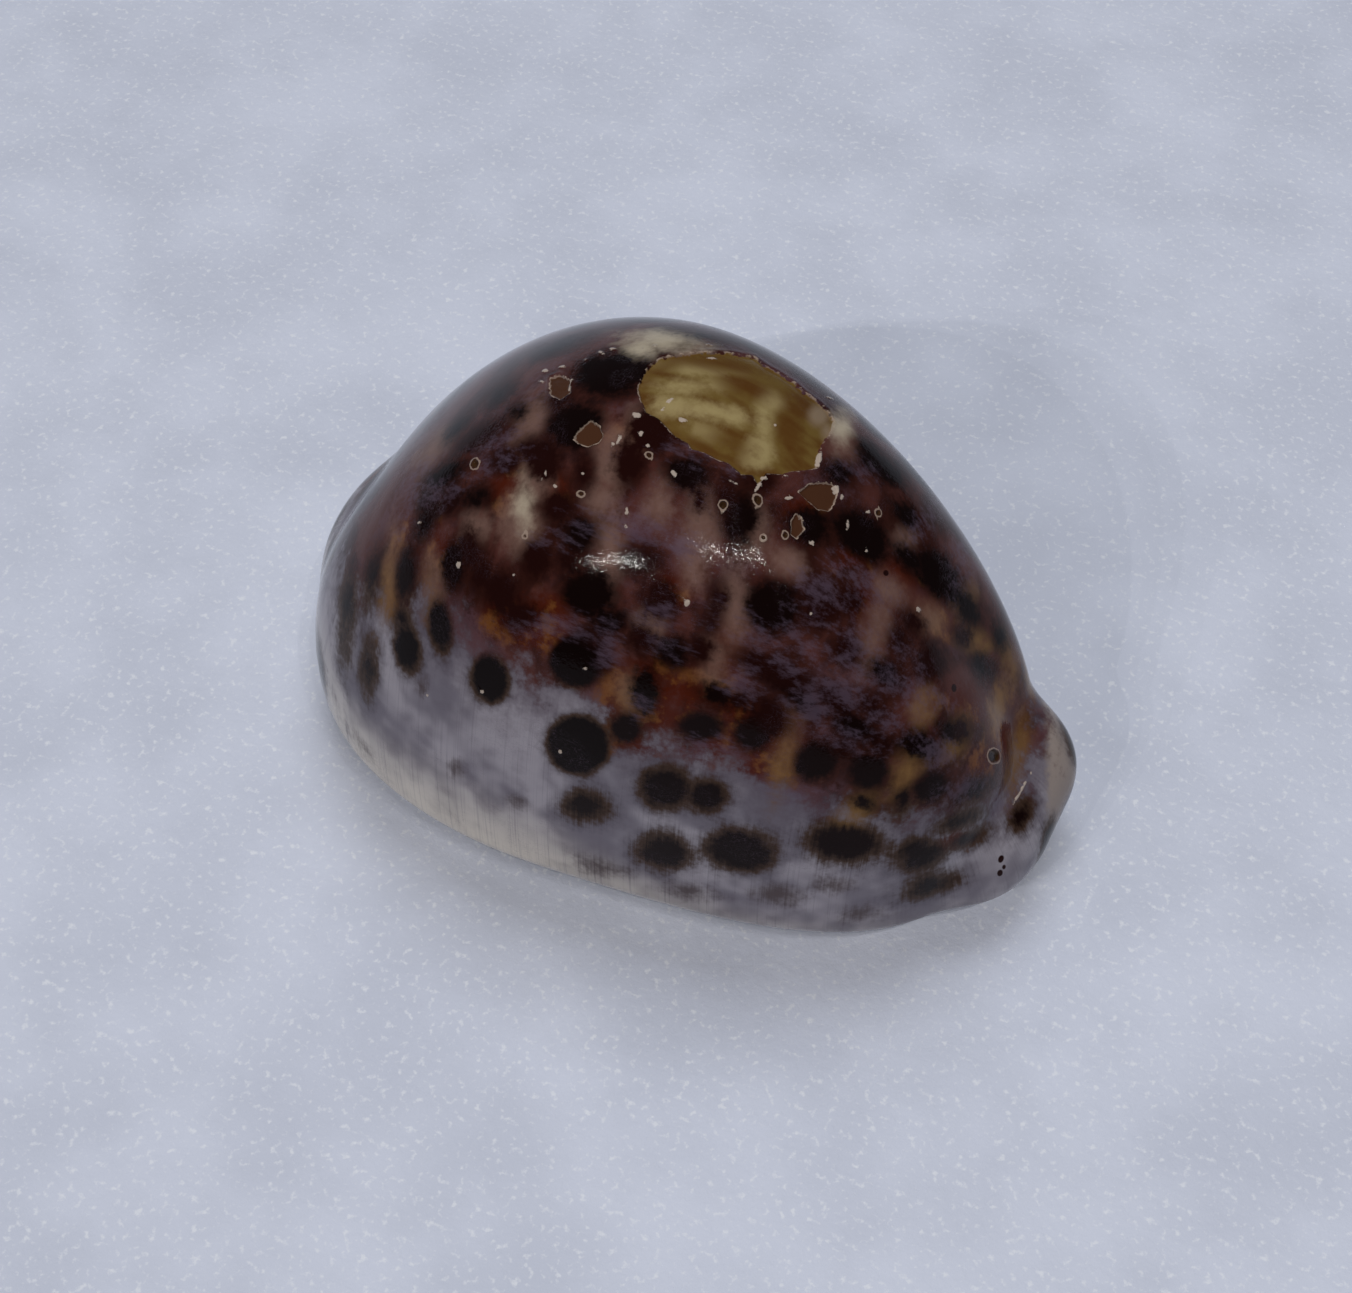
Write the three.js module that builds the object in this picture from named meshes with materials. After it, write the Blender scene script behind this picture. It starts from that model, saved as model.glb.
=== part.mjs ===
// A tiger cowrie shell: one hollow piece, 80 mm long, in millimetres.
// +X is the front end with its blunt beak, -X the rear end, +Z the domed back.
// -Y is the outer-lip side, +Y the inner-lip side. The flat base lies on z = 0, and the
// origin is the middle of the base of the shell's bounding box.
import * as THREE from 'three';

// Driving dimensions
const LENGTH = 80;
const HEIGHT = LENGTH * 0.569;
const HALF_WIDTH = LENGTH * 0.327;

// The egg-shaped body: where it is widest, and how its section changes along the length
const CENTRE = new THREE.Vector3(-0.024 * LENGTH, -0.01 * LENGTH, 0.07 * LENGTH);
const REAR_REACH = LENGTH * 0.459;
const FRONT_REACH = LENGTH * 0.473;
const NEAR_TAPER = 0.12;
const FAR_TAPER = 0.34;
const DOME_RISE = 0.08;
const BELLY_DEPTH = CENTRE.z * 2;
const ARCH_POWER = 2.09;
const PLAN_POWER = 2.22;
const NEAR_FRONT_POWER = 3.36;
const PROFILE_POWER = 1.64;
const POWER_SOFTENING = 0.25;
const SIDE_BLEND = LENGTH * 0.075;
const END_BLEND = LENGTH * 0.1;
const FIELD_SCALE = LENGTH * 0.25;

// The thick lips round the canal at each end: centre and half-sizes. At the front, a middle
// one bridges the other two over the canal.
const END_LIPS = [
  { centre: [33.4, -7.1, 6.5], radii: [6.0, 6.5, 5.5] },
  { centre: [33.4, -3.4, 6.4], radii: [5.6, 5.0, 5.4] },
  { centre: [33.9, 1.3, 7.9], radii: [6.0, 5.5, 6.0] },
  { centre: [-33.6, -0.4, 9.0], radii: [5.9, 8.1, 7.0] },
  { centre: [-32.5, 11.7, 7.3], radii: [5.9, 8.8, 7.5] },
];
const LIP_BLEND = 3;
const BASE_BLEND = 5.9;

// The aperture: a long slot between the two lips, which bends to the far side at the rear
const SLOT_LINE = -4.2;
const SLOT_REAR_BEND = 9.8;
const SLOT_FRONT_BEND = 1.3;
const SLOT_HALF_REAR = 2.3;
const SLOT_HALF_FRONT = 2.9;
const LIP_ROLL = { side: 3.4, end: 1.9 };
const CANAL_HEIGHT = { rear: 6.2, front: 0.4 };
const NOSE = { rear: -37.5, front: 37.5 };

// The teeth on both lips are the crests between short grooves, which fade out at the ends
const TOOTH_SPOKES = 4 / 3;
const GROOVE_DEPTH = 0.8;
const GROOVE_ONSET = 0.45;
const TEETH_REACH = { full: 27, none: 33 };

// The cavity follows the body at a wall's depth, with thicker sides, ends and floor
const WALL_LEVEL = -0.8;
const CAVITY_SHRINK = 1.08;
const FLOOR_THICKNESS = 5.2;
const FLOOR_BLEND = 3;
const INNER_CANAL = { rear: 5.0, front: 4.2 };
const INNER_NOSE = { rear: -31, front: 30 };
const INNER_ROLL = { side: 2.4, end: 1.2 };

// How the surface is divided
const SPINE_REAR = -26;
const SPINE_FRONT = 27;
const SPINE_HEIGHT = 10;
const STATIONS = 30;
const FAN_SPOKES = 24;
const OUTER_RINGS = 18;
const INNER_RINGS = 7;
const SPLITS = 3;
const RING_CROWDING = 0.05;
const MARGIN_PLACE = 0.16;
const BISECTIONS = 34;
const TINY = 1e-9;
const LONGEST_RAY = LENGTH;

const blend = (a, b, t) => a + (b - a) * t;
const smoothStep = (t) => t * t * (3 - 2 * t);
const clamp01 = (t) => Math.min(1, Math.max(0, t));

function smoothMin(a, b, width) {
  const t = clamp01(0.5 + (0.5 * (b - a)) / width);
  return blend(b, a, t) - width * t * (1 - t);
}

// |t| to a power, rounded off near zero so that the surface has no crease there
function softPower(t, power) {
  const low = POWER_SOFTENING ** power;
  const raise = (square) => (square + POWER_SOFTENING ** 2) ** (power / 2) - low;
  return raise(t * t) / raise(1);
}

// Each field is below zero inside its form
function bodyField(p) {
  const x = p.x - CENTRE.x;
  const y = p.y - CENTRE.y;
  const z = p.z - CENTRE.z;
  const front = 0.5 + 0.5 * Math.tanh(x / END_BLEND);
  const far = 0.5 + 0.5 * Math.tanh(y / SIDE_BLEND);
  const along = x / blend(REAR_REACH, FRONT_REACH, front);
  const halfWidth = HALF_WIDTH * (1 - blend(NEAR_TAPER, FAR_TAPER, far) * along);
  const rise = z > 0 ? (HEIGHT - CENTRE.z) * (1 + DOME_RISE * along) : BELLY_DEPTH;
  const across = Math.abs(y / halfWidth) ** ARCH_POWER;
  const upward = Math.abs(z / rise) ** ARCH_POWER;
  const section = across + upward;
  const plan = blend(PLAN_POWER, NEAR_FRONT_POWER, front * (1 - far));
  const profile = z > 0 ? PROFILE_POWER : plan;
  const power = blend(plan, profile, upward / (section + TINY));
  const radius = (softPower(along, power) + section ** (power / ARCH_POWER)) ** (1 / power);
  return (radius - 1) * FIELD_SCALE;
}

function lipField(p, { centre, radii }) {
  const x = (p.x - centre[0]) / radii[0];
  const y = (p.y - centre[1]) / radii[1];
  const z = (p.z - centre[2]) / radii[2];
  return (Math.hypot(x, y, z) - 1) * Math.min(...radii);
}

function shellField(p) {
  let field = bodyField(p);
  for (const lip of END_LIPS) {
    field = smoothMin(field, lipField(p, lip), LIP_BLEND);
  }
  return -smoothMin(-field, p.z, BASE_BLEND);
}

const stretched = new THREE.Vector3();

function cavityField(p) {
  stretched.copy(p).sub(CENTRE);
  stretched.set(stretched.x * CAVITY_SHRINK, stretched.y * CAVITY_SHRINK, stretched.z);
  const dome = bodyField(stretched.add(CENTRE)) - WALL_LEVEL;
  return -smoothMin(-dome, p.z - FLOOR_THICKNESS, FLOOR_BLEND);
}

// The aperture's middle line and half-width at x
function slotLine(x) {
  const rear = Math.max(0, -x / 38);
  const front = Math.max(0, x / 38);
  return SLOT_LINE + SLOT_REAR_BEND * rear ** 2 + SLOT_FRONT_BEND * front ** 2;
}

function slotHalf(x) {
  return blend(SLOT_HALF_REAR, SLOT_HALF_FRONT, smoothStep(clamp01((x + 30) / 62)));
}

// Where a ray from origin leaves the form, found by halving
function reach(origin, direction, field) {
  let inside = 0;
  let outside = LONGEST_RAY;
  const p = new THREE.Vector3();
  for (let i = 0; i < BISECTIONS; i += 1) {
    const middle = (inside + outside) / 2;
    p.copy(direction).multiplyScalar(middle).add(origin);
    if (field(p) < 0) {
      inside = middle;
    } else {
      outside = middle;
    }
  }
  return p.copy(direction).multiplyScalar(inside).add(origin);
}

function skinPoint(origin, direction) {
  const p = reach(origin, direction, shellField);
  p.z = Math.max(p.z, 0);
  return p;
}

// A spoke runs from the crest of the back, down a side or an end, to the aperture's edge.
// The near side's spokes come first, then the front fan, the far side and the rear fan.
function makeSpokes() {
  const spokes = [];
  for (let i = 0; i <= STATIONS; i += 1) {
    spokes.push({ station: i, side: -1 });
  }
  for (let j = 1; j < FAN_SPOKES; j += 1) {
    spokes.push({ station: STATIONS, end: 'front', turn: j / FAN_SPOKES });
  }
  for (let i = STATIONS; i >= 0; i -= 1) {
    spokes.push({ station: i, side: 1 });
  }
  for (let j = 1; j < FAN_SPOKES; j += 1) {
    spokes.push({ station: 0, end: 'rear', turn: j / FAN_SPOKES });
  }
  return spokes;
}

function spineAt(station) {
  const x = blend(SPINE_REAR, SPINE_FRONT, station / STATIONS);
  return new THREE.Vector3(x, slotLine(x), SPINE_HEIGHT);
}

// The aperture's outline, set out from its edge by margin: along the base under the spine,
// and at each end on along the base, up the nose and over an arch
function outlinePoint(spoke, margin, floor, canal, nose) {
  const spine = spineAt(spoke.station);
  if (spoke.side) {
    const half = slotHalf(spine.x) + margin;
    return new THREE.Vector3(spine.x, spine.y + spoke.side * half, floor);
  }
  const front = spoke.end === 'front';
  const noseX = front ? nose.front : nose.rear;
  const half = slotHalf(noseX) + margin;
  const run = Math.abs(noseX - spine.x);
  const rise = front ? canal.front : canal.rear;
  const total = run + rise + (Math.PI / 2) * half;
  const mirrored = spoke.turn > 0.5;
  const travelled = total * 2 * (mirrored ? 1 - spoke.turn : spoke.turn);
  let x = noseX;
  let offset = half;
  let z = floor + rise;
  if (travelled < run) {
    const part = travelled / run;
    x = blend(spine.x, noseX, part);
    offset = blend(slotHalf(spine.x) + margin, half, part);
    z = floor;
  } else if (travelled < run + rise) {
    z = floor + travelled - run;
  } else {
    const angle = (travelled - run - rise) / half;
    offset = half * Math.cos(angle);
    z = floor + rise + half * Math.sin(angle);
  }
  const side = (front ? -1 : 1) * (mirrored ? -1 : 1);
  return new THREE.Vector3(x, slotLine(x) + side * offset, z);
}

function angles(direction) {
  return {
    polar: Math.atan2(Math.hypot(direction.x, direction.y), direction.z),
    azimuth: Math.atan2(direction.y, direction.x),
  };
}

function fromAngles(polar, azimuth) {
  const flat = Math.sin(polar);
  return new THREE.Vector3(flat * Math.cos(azimuth), flat * Math.sin(azimuth), Math.cos(polar));
}

// Ring places between 0 and 1, closer together round the margin
function ringPlace(t) {
  const wave = (angle) => Math.sin(2 * Math.PI * angle);
  return t + RING_CROWDING * (wave(t - MARGIN_PLACE) + wave(MARGIN_PLACE));
}

// The direction of a spoke at t, from 0 at the crest to 1 at the target
function spokeDirection(spoke, target, t) {
  const { polar, azimuth } = angles(target);
  let start = azimuth;
  if (spoke.end) {
    start = Math.PI * (spoke.turn - 0.5) + (spoke.end === 'rear' ? Math.PI : 0);
  }
  let swing = azimuth - start;
  swing -= Math.round(swing / (2 * Math.PI)) * 2 * Math.PI;
  return fromAngles(polar * t, start + swing * smoothStep(t));
}

function directionTo(origin, point) {
  return new THREE.Vector3().subVectors(point, origin).normalize();
}

function quadratic(a, b, c, t) {
  const p = a.clone().multiplyScalar((1 - t) ** 2);
  p.addScaledVector(b, 2 * t * (1 - t));
  return p.addScaledVector(c, t * t);
}

// One spoke's stops on the outside, round the lip, up the slot's wall and in the cavity
function layOut(spoke) {
  const origin = spineAt(spoke.station);
  const endness = spoke.end ? Math.sin(Math.PI * spoke.turn) : 0;
  const roll = blend(LIP_ROLL.side, LIP_ROLL.end, endness);
  const innerRoll = blend(INNER_ROLL.side, INNER_ROLL.end, endness);
  const onSkin = (margin) => {
    const target = outlinePoint(spoke, margin, 0, CANAL_HEIGHT, NOSE);
    return directionTo(origin, target);
  };
  const inCavity = (margin) => {
    const target = outlinePoint(spoke, margin, FLOOR_THICKNESS, INNER_CANAL, INNER_NOSE);
    return directionTo(origin, target);
  };
  const edge = skinPoint(origin, onSkin(0));
  const sill = reach(origin, inCavity(0), cavityField);
  const wall = directionTo(edge, sill);
  const depth = edge.distanceTo(sill);
  return {
    origin,
    outer: onSkin(roll),
    lipStart: skinPoint(origin, onSkin(roll)),
    edge,
    lipEnd: edge.clone().addScaledVector(wall, Math.min(roll, depth * 0.45)),
    sill,
    sillStart: sill.clone().addScaledVector(wall, -Math.min(innerRoll, depth * 0.3)),
    inner: inCavity(innerRoll),
    floorStart: reach(origin, inCavity(innerRoll), cavityField),
  };
}

const mixStops = (a, b, t) => {
  const mixed = {};
  for (const name of ['lipStart', 'edge', 'lipEnd', 'sillStart']) {
    mixed[name] = a[name].clone().lerp(b[name], t);
  }
  return mixed;
};

// Grooves run across the lip between the teeth. A tooth and its groove take TOOTH_SPOKES
// spokes, and t runs from 0 at the start of the lip's roll to 1 at its end.
function grooveDepth(spokeNumber, x, t) {
  const phase = (spokeNumber / TOOTH_SPOKES) % 1;
  const fade = (Math.abs(x) - TEETH_REACH.full) / (TEETH_REACH.none - TEETH_REACH.full);
  const depth = GROOVE_DEPTH * (1 - smoothStep(clamp01(fade)));
  return phase < 0.5 - TINY ? 0 : depth * smoothStep(clamp01(t / GROOVE_ONSET));
}

function buildShell() {
  const spokes = makeSpokes();
  const stops = spokes.map(layOut);
  const count = spokes.length;
  const vertices = [];
  const triangles = [];
  const add = (p) => vertices.push(p.x, p.y, p.z) / 3 - 1;
  const face = (a, b, c) => {
    if (a !== b && b !== c && c !== a) {
      triangles.push(a, b, c);
    }
  };

  // The crest: near and far spokes of one station meet in one vertex
  const crest = (surface) => {
    const tops = [];
    for (let i = 0; i <= STATIONS; i += 1) {
      tops.push(add(surface(spineAt(i), new THREE.Vector3(0, 0, 1))));
    }
    return spokes.map((spoke) => tops[spoke.station]);
  };
  const ring = (surface, name, t) => spokes.map((spoke, k) => {
    const { origin } = stops[k];
    return add(surface(origin, spokeDirection(spoke, stops[k][name], t)));
  });
  const cavityPoint = (origin, direction) => reach(origin, direction, cavityField);

  const outer = [crest(skinPoint)];
  for (let i = 1; i < OUTER_RINGS; i += 1) {
    outer.push(ring(skinPoint, 'outer', ringPlace(i / OUTER_RINGS)));
  }
  const inner = [crest(cavityPoint)];
  for (let i = 1; i <= INNER_RINGS; i += 1) {
    inner.push(ring(cavityPoint, 'inner', i / INNER_RINGS));
  }

  // The lip, at SPLITS times as many spokes, with its grooves
  const lipRing = (place, t) => {
    const indices = [];
    for (let k = 0; k < count; k += 1) {
      const next = (k + 1) % count;
      for (let j = 0; j < SPLITS; j += 1) {
        const mixed = mixStops(stops[k], stops[next], j / SPLITS);
        const p = place(mixed);
        const inward = mixed.lipStart.clone().lerp(mixed.lipEnd, 0.5).sub(mixed.edge).normalize();
        const groove = grooveDepth(k + j / SPLITS, mixed.edge.x, t);
        indices.push(add(p.addScaledVector(inward, groove)));
      }
    }
    return indices;
  };
  const roll = (t) => (s) => quadratic(s.lipStart, s.edge, s.lipEnd, t);
  const lips = [
    lipRing(roll(0), 0),
    lipRing(roll(0.4), 0.4),
    lipRing(roll(0.7), 0.7),
    lipRing(roll(1), 1),
    lipRing((s) => s.lipEnd.clone().lerp(s.sillStart, 0.7), 0),
  ];
  const sill = stops.map((s) => add(quadratic(s.sillStart, s.sill, s.floorStart, 0.5)));

  const strip = (high, low) => {
    for (let k = 0; k < high.length; k += 1) {
      const next = (k + 1) % high.length;
      face(high[k], low[k], low[next]);
      face(high[k], low[next], high[next]);
    }
  };
  // Joins a ring of count vertices to one of count * SPLITS
  const zip = (coarse, fine, flipped) => {
    const put = flipped ? (a, b, c) => face(a, c, b) : face;
    const half = Math.ceil(SPLITS / 2);
    for (let k = 0; k < count; k += 1) {
      const next = (k + 1) % count;
      const at = (j) => fine[(k * SPLITS + j) % fine.length];
      for (let j = 0; j < SPLITS; j += 1) {
        put(j < half ? coarse[k] : coarse[next], at(j), at(j + 1));
      }
      put(coarse[k], at(half), coarse[next]);
    }
  };
  for (let i = 1; i < OUTER_RINGS; i += 1) {
    strip(outer[i - 1], outer[i]);
  }
  zip(outer[OUTER_RINGS - 1], lips[0], false);
  for (let i = 1; i < lips.length; i += 1) {
    strip(lips[i - 1], lips[i]);
  }
  zip(sill, lips[lips.length - 1], true);
  strip(sill, inner[INNER_RINGS]);
  for (let i = INNER_RINGS; i > 0; i -= 1) {
    strip(inner[i], inner[i - 1]);
  }

  const geometry = new THREE.BufferGeometry();
  geometry.setAttribute('position', new THREE.Float32BufferAttribute(vertices, 3));
  geometry.setIndex(triangles);
  geometry.computeVertexNormals();
  return geometry;
}

const glaze = new THREE.MeshStandardMaterial({ color: 0x5b4a45, roughness: 0.22, metalness: 0 });
const shell = new THREE.Mesh(buildShell(), glaze);
shell.name = 'shell';

const cowrie = new THREE.Group();
cowrie.add(shell);

export default cowrie;
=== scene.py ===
# %% [markdown]
# # A worn tiger cowrie
# The shell is one natural piece: a thick egg-shaped body that the snail's mantle covered with
# layer on layer of glaze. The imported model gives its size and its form. This script builds the
# same form again with a finer surface and smoother teeth, then adds what the small model leaves
# out: the spots, the pale windows between them, and the flaked patch on the back.

import math

import bpy
import numpy as np
from mathutils import Matrix, Vector


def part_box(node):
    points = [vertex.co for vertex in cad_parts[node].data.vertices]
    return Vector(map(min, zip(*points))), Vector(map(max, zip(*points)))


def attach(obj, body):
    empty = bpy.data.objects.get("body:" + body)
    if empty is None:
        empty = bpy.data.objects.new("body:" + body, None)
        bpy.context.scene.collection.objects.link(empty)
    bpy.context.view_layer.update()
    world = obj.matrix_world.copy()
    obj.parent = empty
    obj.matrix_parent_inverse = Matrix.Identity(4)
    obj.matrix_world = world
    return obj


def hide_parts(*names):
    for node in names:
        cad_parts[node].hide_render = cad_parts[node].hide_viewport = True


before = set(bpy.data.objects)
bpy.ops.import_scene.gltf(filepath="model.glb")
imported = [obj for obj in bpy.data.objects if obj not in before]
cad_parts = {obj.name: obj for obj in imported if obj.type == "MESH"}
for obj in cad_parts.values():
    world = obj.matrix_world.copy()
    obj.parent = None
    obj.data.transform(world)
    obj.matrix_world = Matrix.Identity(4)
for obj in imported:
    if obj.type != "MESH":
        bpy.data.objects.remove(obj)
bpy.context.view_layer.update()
MM = 0.001
low_corner, high_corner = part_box("shell")
LENGTH = round((high_corner[0] - low_corner[0]) / MM)
print("the packed shell is", LENGTH, "mm long")

# %% [markdown]
# ## The camera
# The photograph looks down on the near side from the front right. The view was found by
# fitting the outline of the form to the outline in the photograph. It comes first, because the
# spots are placed by the pixels where they show, looked up along this camera's own rays.

# %% Place the camera
PHOTO_SIZE = (1352, 1293)
SENSOR_WIDTH = 36.0
VIEW_AZIMUTH = math.radians(25.84)
VIEW_ELEVATION = math.radians(52.32)
VIEW_ROLL = math.radians(-0.69)
VIEW_DISTANCE = 210.7
VIEW_TARGET = np.array([0.21, -3.80, 13.63])
LENS = 57.41
PIXEL_FOCAL = LENS / SENSOR_WIDTH * PHOTO_SIZE[0]


def add_object(name, data):
    thing = bpy.data.objects.new(name, data)
    bpy.context.collection.objects.link(thing)
    return thing


flat_back = math.cos(VIEW_ELEVATION)
view_back = np.array([
    math.sin(VIEW_AZIMUTH) * flat_back,
    -math.cos(VIEW_AZIMUTH) * flat_back,
    math.sin(VIEW_ELEVATION),
])
level_right = np.array([math.cos(VIEW_AZIMUTH), math.sin(VIEW_AZIMUTH), 0])
level_up = np.cross(view_back, level_right)
view_right = math.cos(VIEW_ROLL) * level_right + math.sin(VIEW_ROLL) * level_up
view_up = math.cos(VIEW_ROLL) * level_up - math.sin(VIEW_ROLL) * level_right
eye = VIEW_TARGET + VIEW_DISTANCE * view_back

camera_data = bpy.data.cameras.new("camera")
camera_data.lens = LENS
camera_data.sensor_width = SENSOR_WIDTH
camera_data.clip_start = 0.01
camera = add_object("camera", camera_data)
axes = Matrix([view_right, view_up, view_back]).transposed()
camera.matrix_world = Matrix.Translation(Vector(eye * MM)) @ axes.to_4x4()
bpy.context.scene.camera = camera
print("the camera is", round(VIEW_DISTANCE), "mm from the shell's middle")

# %% [markdown]
# ## The form as a formula
# A cowrie's last whorl wraps round all the others, so its outside is nearly an egg. It is
# widest behind the middle, blunter on the outer-lip side and flat underneath, where the shell
# thickens into a callus. Two lips stand out at each end beside the canals. These are the same
# driving values as in the part's source, and every field is below zero inside its form.

# %% The driving values of the body
HEIGHT = LENGTH * 0.569
HALF_WIDTH = LENGTH * 0.327
CENTRE = np.array([-0.024, -0.01, 0.07]) * LENGTH
REAR_REACH = LENGTH * 0.459
FRONT_REACH = LENGTH * 0.473
NEAR_TAPER = 0.12
FAR_TAPER = 0.34
DOME_RISE = 0.08
BELLY_DEPTH = CENTRE[2] * 2
ARCH_POWER = 2.09
PLAN_POWER = 2.22
NEAR_FRONT_POWER = 3.36
PROFILE_POWER = 1.64
POWER_SOFTENING = 0.25
SIDE_BLEND = LENGTH * 0.075
END_BLEND = LENGTH * 0.1
FIELD_SCALE = LENGTH * 0.25
END_LIPS = [
    ((33.4, -7.1, 6.5), (6.0, 6.5, 5.5)),
    ((33.4, -3.4, 6.4), (5.6, 5.0, 5.4)),
    ((33.9, 1.3, 7.9), (6.0, 5.5, 6.0)),
    ((-33.6, -0.4, 9.0), (5.9, 8.1, 7.0)),
    ((-32.5, 11.7, 7.3), (5.9, 8.8, 7.5)),
]
LIP_BLEND = 3
BASE_BLEND = 5.9
TINY = 1e-9
print(len(END_LIPS), "lips stand out at the two ends")

# %% The fields of the outside and of the hollow
WALL_LEVEL = -0.8
CAVITY_SHRINK = 1.08
FLOOR_THICKNESS = 5.2
FLOOR_BLEND = 3


def mix(a, b, t):
    return a + (b - a) * t


def unit(vectors):
    return vectors / np.linalg.norm(vectors, axis=-1, keepdims=True)


def smooth_step(t):
    t = np.clip(t, 0, 1)
    return t * t * (3 - 2 * t)


def smooth_min(a, b, width):
    t = np.clip(0.5 + 0.5 * (b - a) / width, 0, 1)
    return mix(b, a, t) - width * t * (1 - t)


def soft_power(t, power):
    lowest = POWER_SOFTENING**power
    raised = (t * t + POWER_SOFTENING**2) ** (power / 2) - lowest
    return raised / ((1 + POWER_SOFTENING**2) ** (power / 2) - lowest)


def body_field(p):
    x, y, z = np.moveaxis(p - CENTRE, -1, 0)
    front = 0.5 + 0.5 * np.tanh(x / END_BLEND)
    far = 0.5 + 0.5 * np.tanh(y / SIDE_BLEND)
    along = x / mix(REAR_REACH, FRONT_REACH, front)
    half_width = HALF_WIDTH * (1 - mix(NEAR_TAPER, FAR_TAPER, far) * along)
    rise = np.where(z > 0, (HEIGHT - CENTRE[2]) * (1 + DOME_RISE * along), BELLY_DEPTH)
    upward = np.abs(z / rise) ** ARCH_POWER
    section = np.abs(y / half_width) ** ARCH_POWER + upward
    plan = mix(PLAN_POWER, NEAR_FRONT_POWER, front * (1 - far))
    profile = np.where(z > 0, PROFILE_POWER, plan)
    power = mix(plan, profile, upward / (section + TINY))
    radius = (soft_power(along, power) + section ** (power / ARCH_POWER)) ** (1 / power)
    return (radius - 1) * FIELD_SCALE


def shell_field(p):
    field = body_field(p)
    for centre, radii in END_LIPS:
        lip = np.linalg.norm((p - centre) / np.array(radii), axis=-1) - 1
        field = smooth_min(field, lip * min(radii), LIP_BLEND)
    return -smooth_min(-field, p[..., 2], BASE_BLEND)


def cavity_field(p):
    stretched = (p - CENTRE) * (CAVITY_SHRINK, CAVITY_SHRINK, 1) + CENTRE
    dome = body_field(stretched) - WALL_LEVEL
    return -smooth_min(-dome, p[..., 2] - FLOOR_THICKNESS, FLOOR_BLEND)


def slope_of(p, field=shell_field, step=0.05):
    """The outward unit normals of a field at points p."""
    across = [field(p + offset) - field(p - offset) for offset in np.eye(3) * step]
    return unit(np.stack(across, axis=-1))


print("the field at the crest:", round(float(shell_field(np.array([0.0, -4.2, HEIGHT]))), 2))

# %% [markdown]
# ## The aperture
# The slot runs the whole length of the base and bends to the far side at the rear. Spokes
# start along a spine under the crest, run down the sides and round the ends, and all meet the
# slot's edge, so the finished surface has one even net of rings and spokes.

# %% The slot's line and the spokes
SLOT_LINE = -4.2
SLOT_REAR_BEND = 9.8
SLOT_FRONT_BEND = 1.3
SLOT_HALF = (2.3, 2.9)
LIP_ROLL = (3.4, 1.9)
INNER_ROLL = (2.4, 1.2)
CANAL_HEIGHT = (6.2, 0.4)
INNER_CANAL = (5.0, 4.2)
NOSE = (-37.5, 37.5)
INNER_NOSE = (-31, 30)
SPINE = (-26, 27)
SPINE_HEIGHT = 10
BEND_REACH = 38
WIDENING_START = -30
WIDENING_RUN = 62
SIDE_STEPS = 90
FAN_STEPS = 72
BISECTIONS = 26


def slot_line(x):
    rear = np.maximum(0, -x / BEND_REACH)
    front = np.maximum(0, x / BEND_REACH)
    return SLOT_LINE + SLOT_REAR_BEND * rear**2 + SLOT_FRONT_BEND * front**2


def slot_half(x):
    return mix(*SLOT_HALF, smooth_step((x - WIDENING_START) / WIDENING_RUN))


def spine_points(x):
    return np.stack([x, slot_line(x), np.full_like(x, SPINE_HEIGHT)], axis=-1)


side_stations = np.linspace(0, 1, SIDE_STEPS + 1)
fan_turns = np.arange(1, FAN_STEPS) / FAN_STEPS
no_turns = np.zeros(SIDE_STEPS + 1)
ones = np.ones(FAN_STEPS - 1)
station = np.concatenate([side_stations, ones, side_stations[::-1], 0 * ones])
turn = np.concatenate([no_turns, fan_turns, no_turns, fan_turns])
end = np.concatenate([no_turns, ones, no_turns, -ones])
side = np.concatenate([no_turns - 1, 0 * ones, no_turns + 1, 0 * ones])
spoke_count = len(station)
origins = spine_points(mix(*SPINE, station))
print(spoke_count, "spokes")

# %% Where each spoke meets the slot's edge
LIP_SHARE = 0.45
SILL_SHARE = 0.3


def pick(pair):
    """The rear or the front value of a pair, for every spoke."""
    return np.where(end > 0, pair[1], pair[0])


def outline_points(margin, floor, canal, nose):
    """The aperture's outline, set out from its edge by margin: along the base, up the nose and
    over an arch at each end."""
    nose_x = pick(nose)
    half = slot_half(nose_x) + margin
    run = np.abs(nose_x - origins[:, 0])
    rise = pick(canal)
    mirrored = turn > 0.5
    travelled = 2 * (run + rise + math.pi / 2 * half) * np.where(mirrored, 1 - turn, turn)
    part = np.clip(travelled / run, 0, 1)
    angle = np.maximum(travelled - run - rise, 0) / half
    offset = mix(slot_half(origins[:, 0]) + margin, half, part) * np.cos(angle)
    x = mix(origins[:, 0], nose_x, part)
    z = floor + np.clip(travelled - run, 0, rise) + half * np.sin(angle)
    flank = np.where(end == 0, side, -end * np.where(mirrored, -1, 1))
    return np.stack([x, slot_line(x) + flank * offset, z], axis=-1)


def directions_to(points):
    return unit(points - origins)


def reach(starts, ways, field):
    """Where rays leave a form, found by halving."""
    inside = np.zeros(len(ways))
    outside = np.full(len(ways), float(LENGTH))
    for _ in range(BISECTIONS):
        middle = (inside + outside) / 2
        within = field(starts + ways * middle[:, None]) < 0
        inside = np.where(within, middle, inside)
        outside = np.where(within, outside, middle)
    return starts + ways * inside[:, None]


def skin_points(starts, ways):
    points = reach(starts, ways, shell_field)
    points[:, 2] = np.maximum(points[:, 2], 0)
    return points


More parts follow.
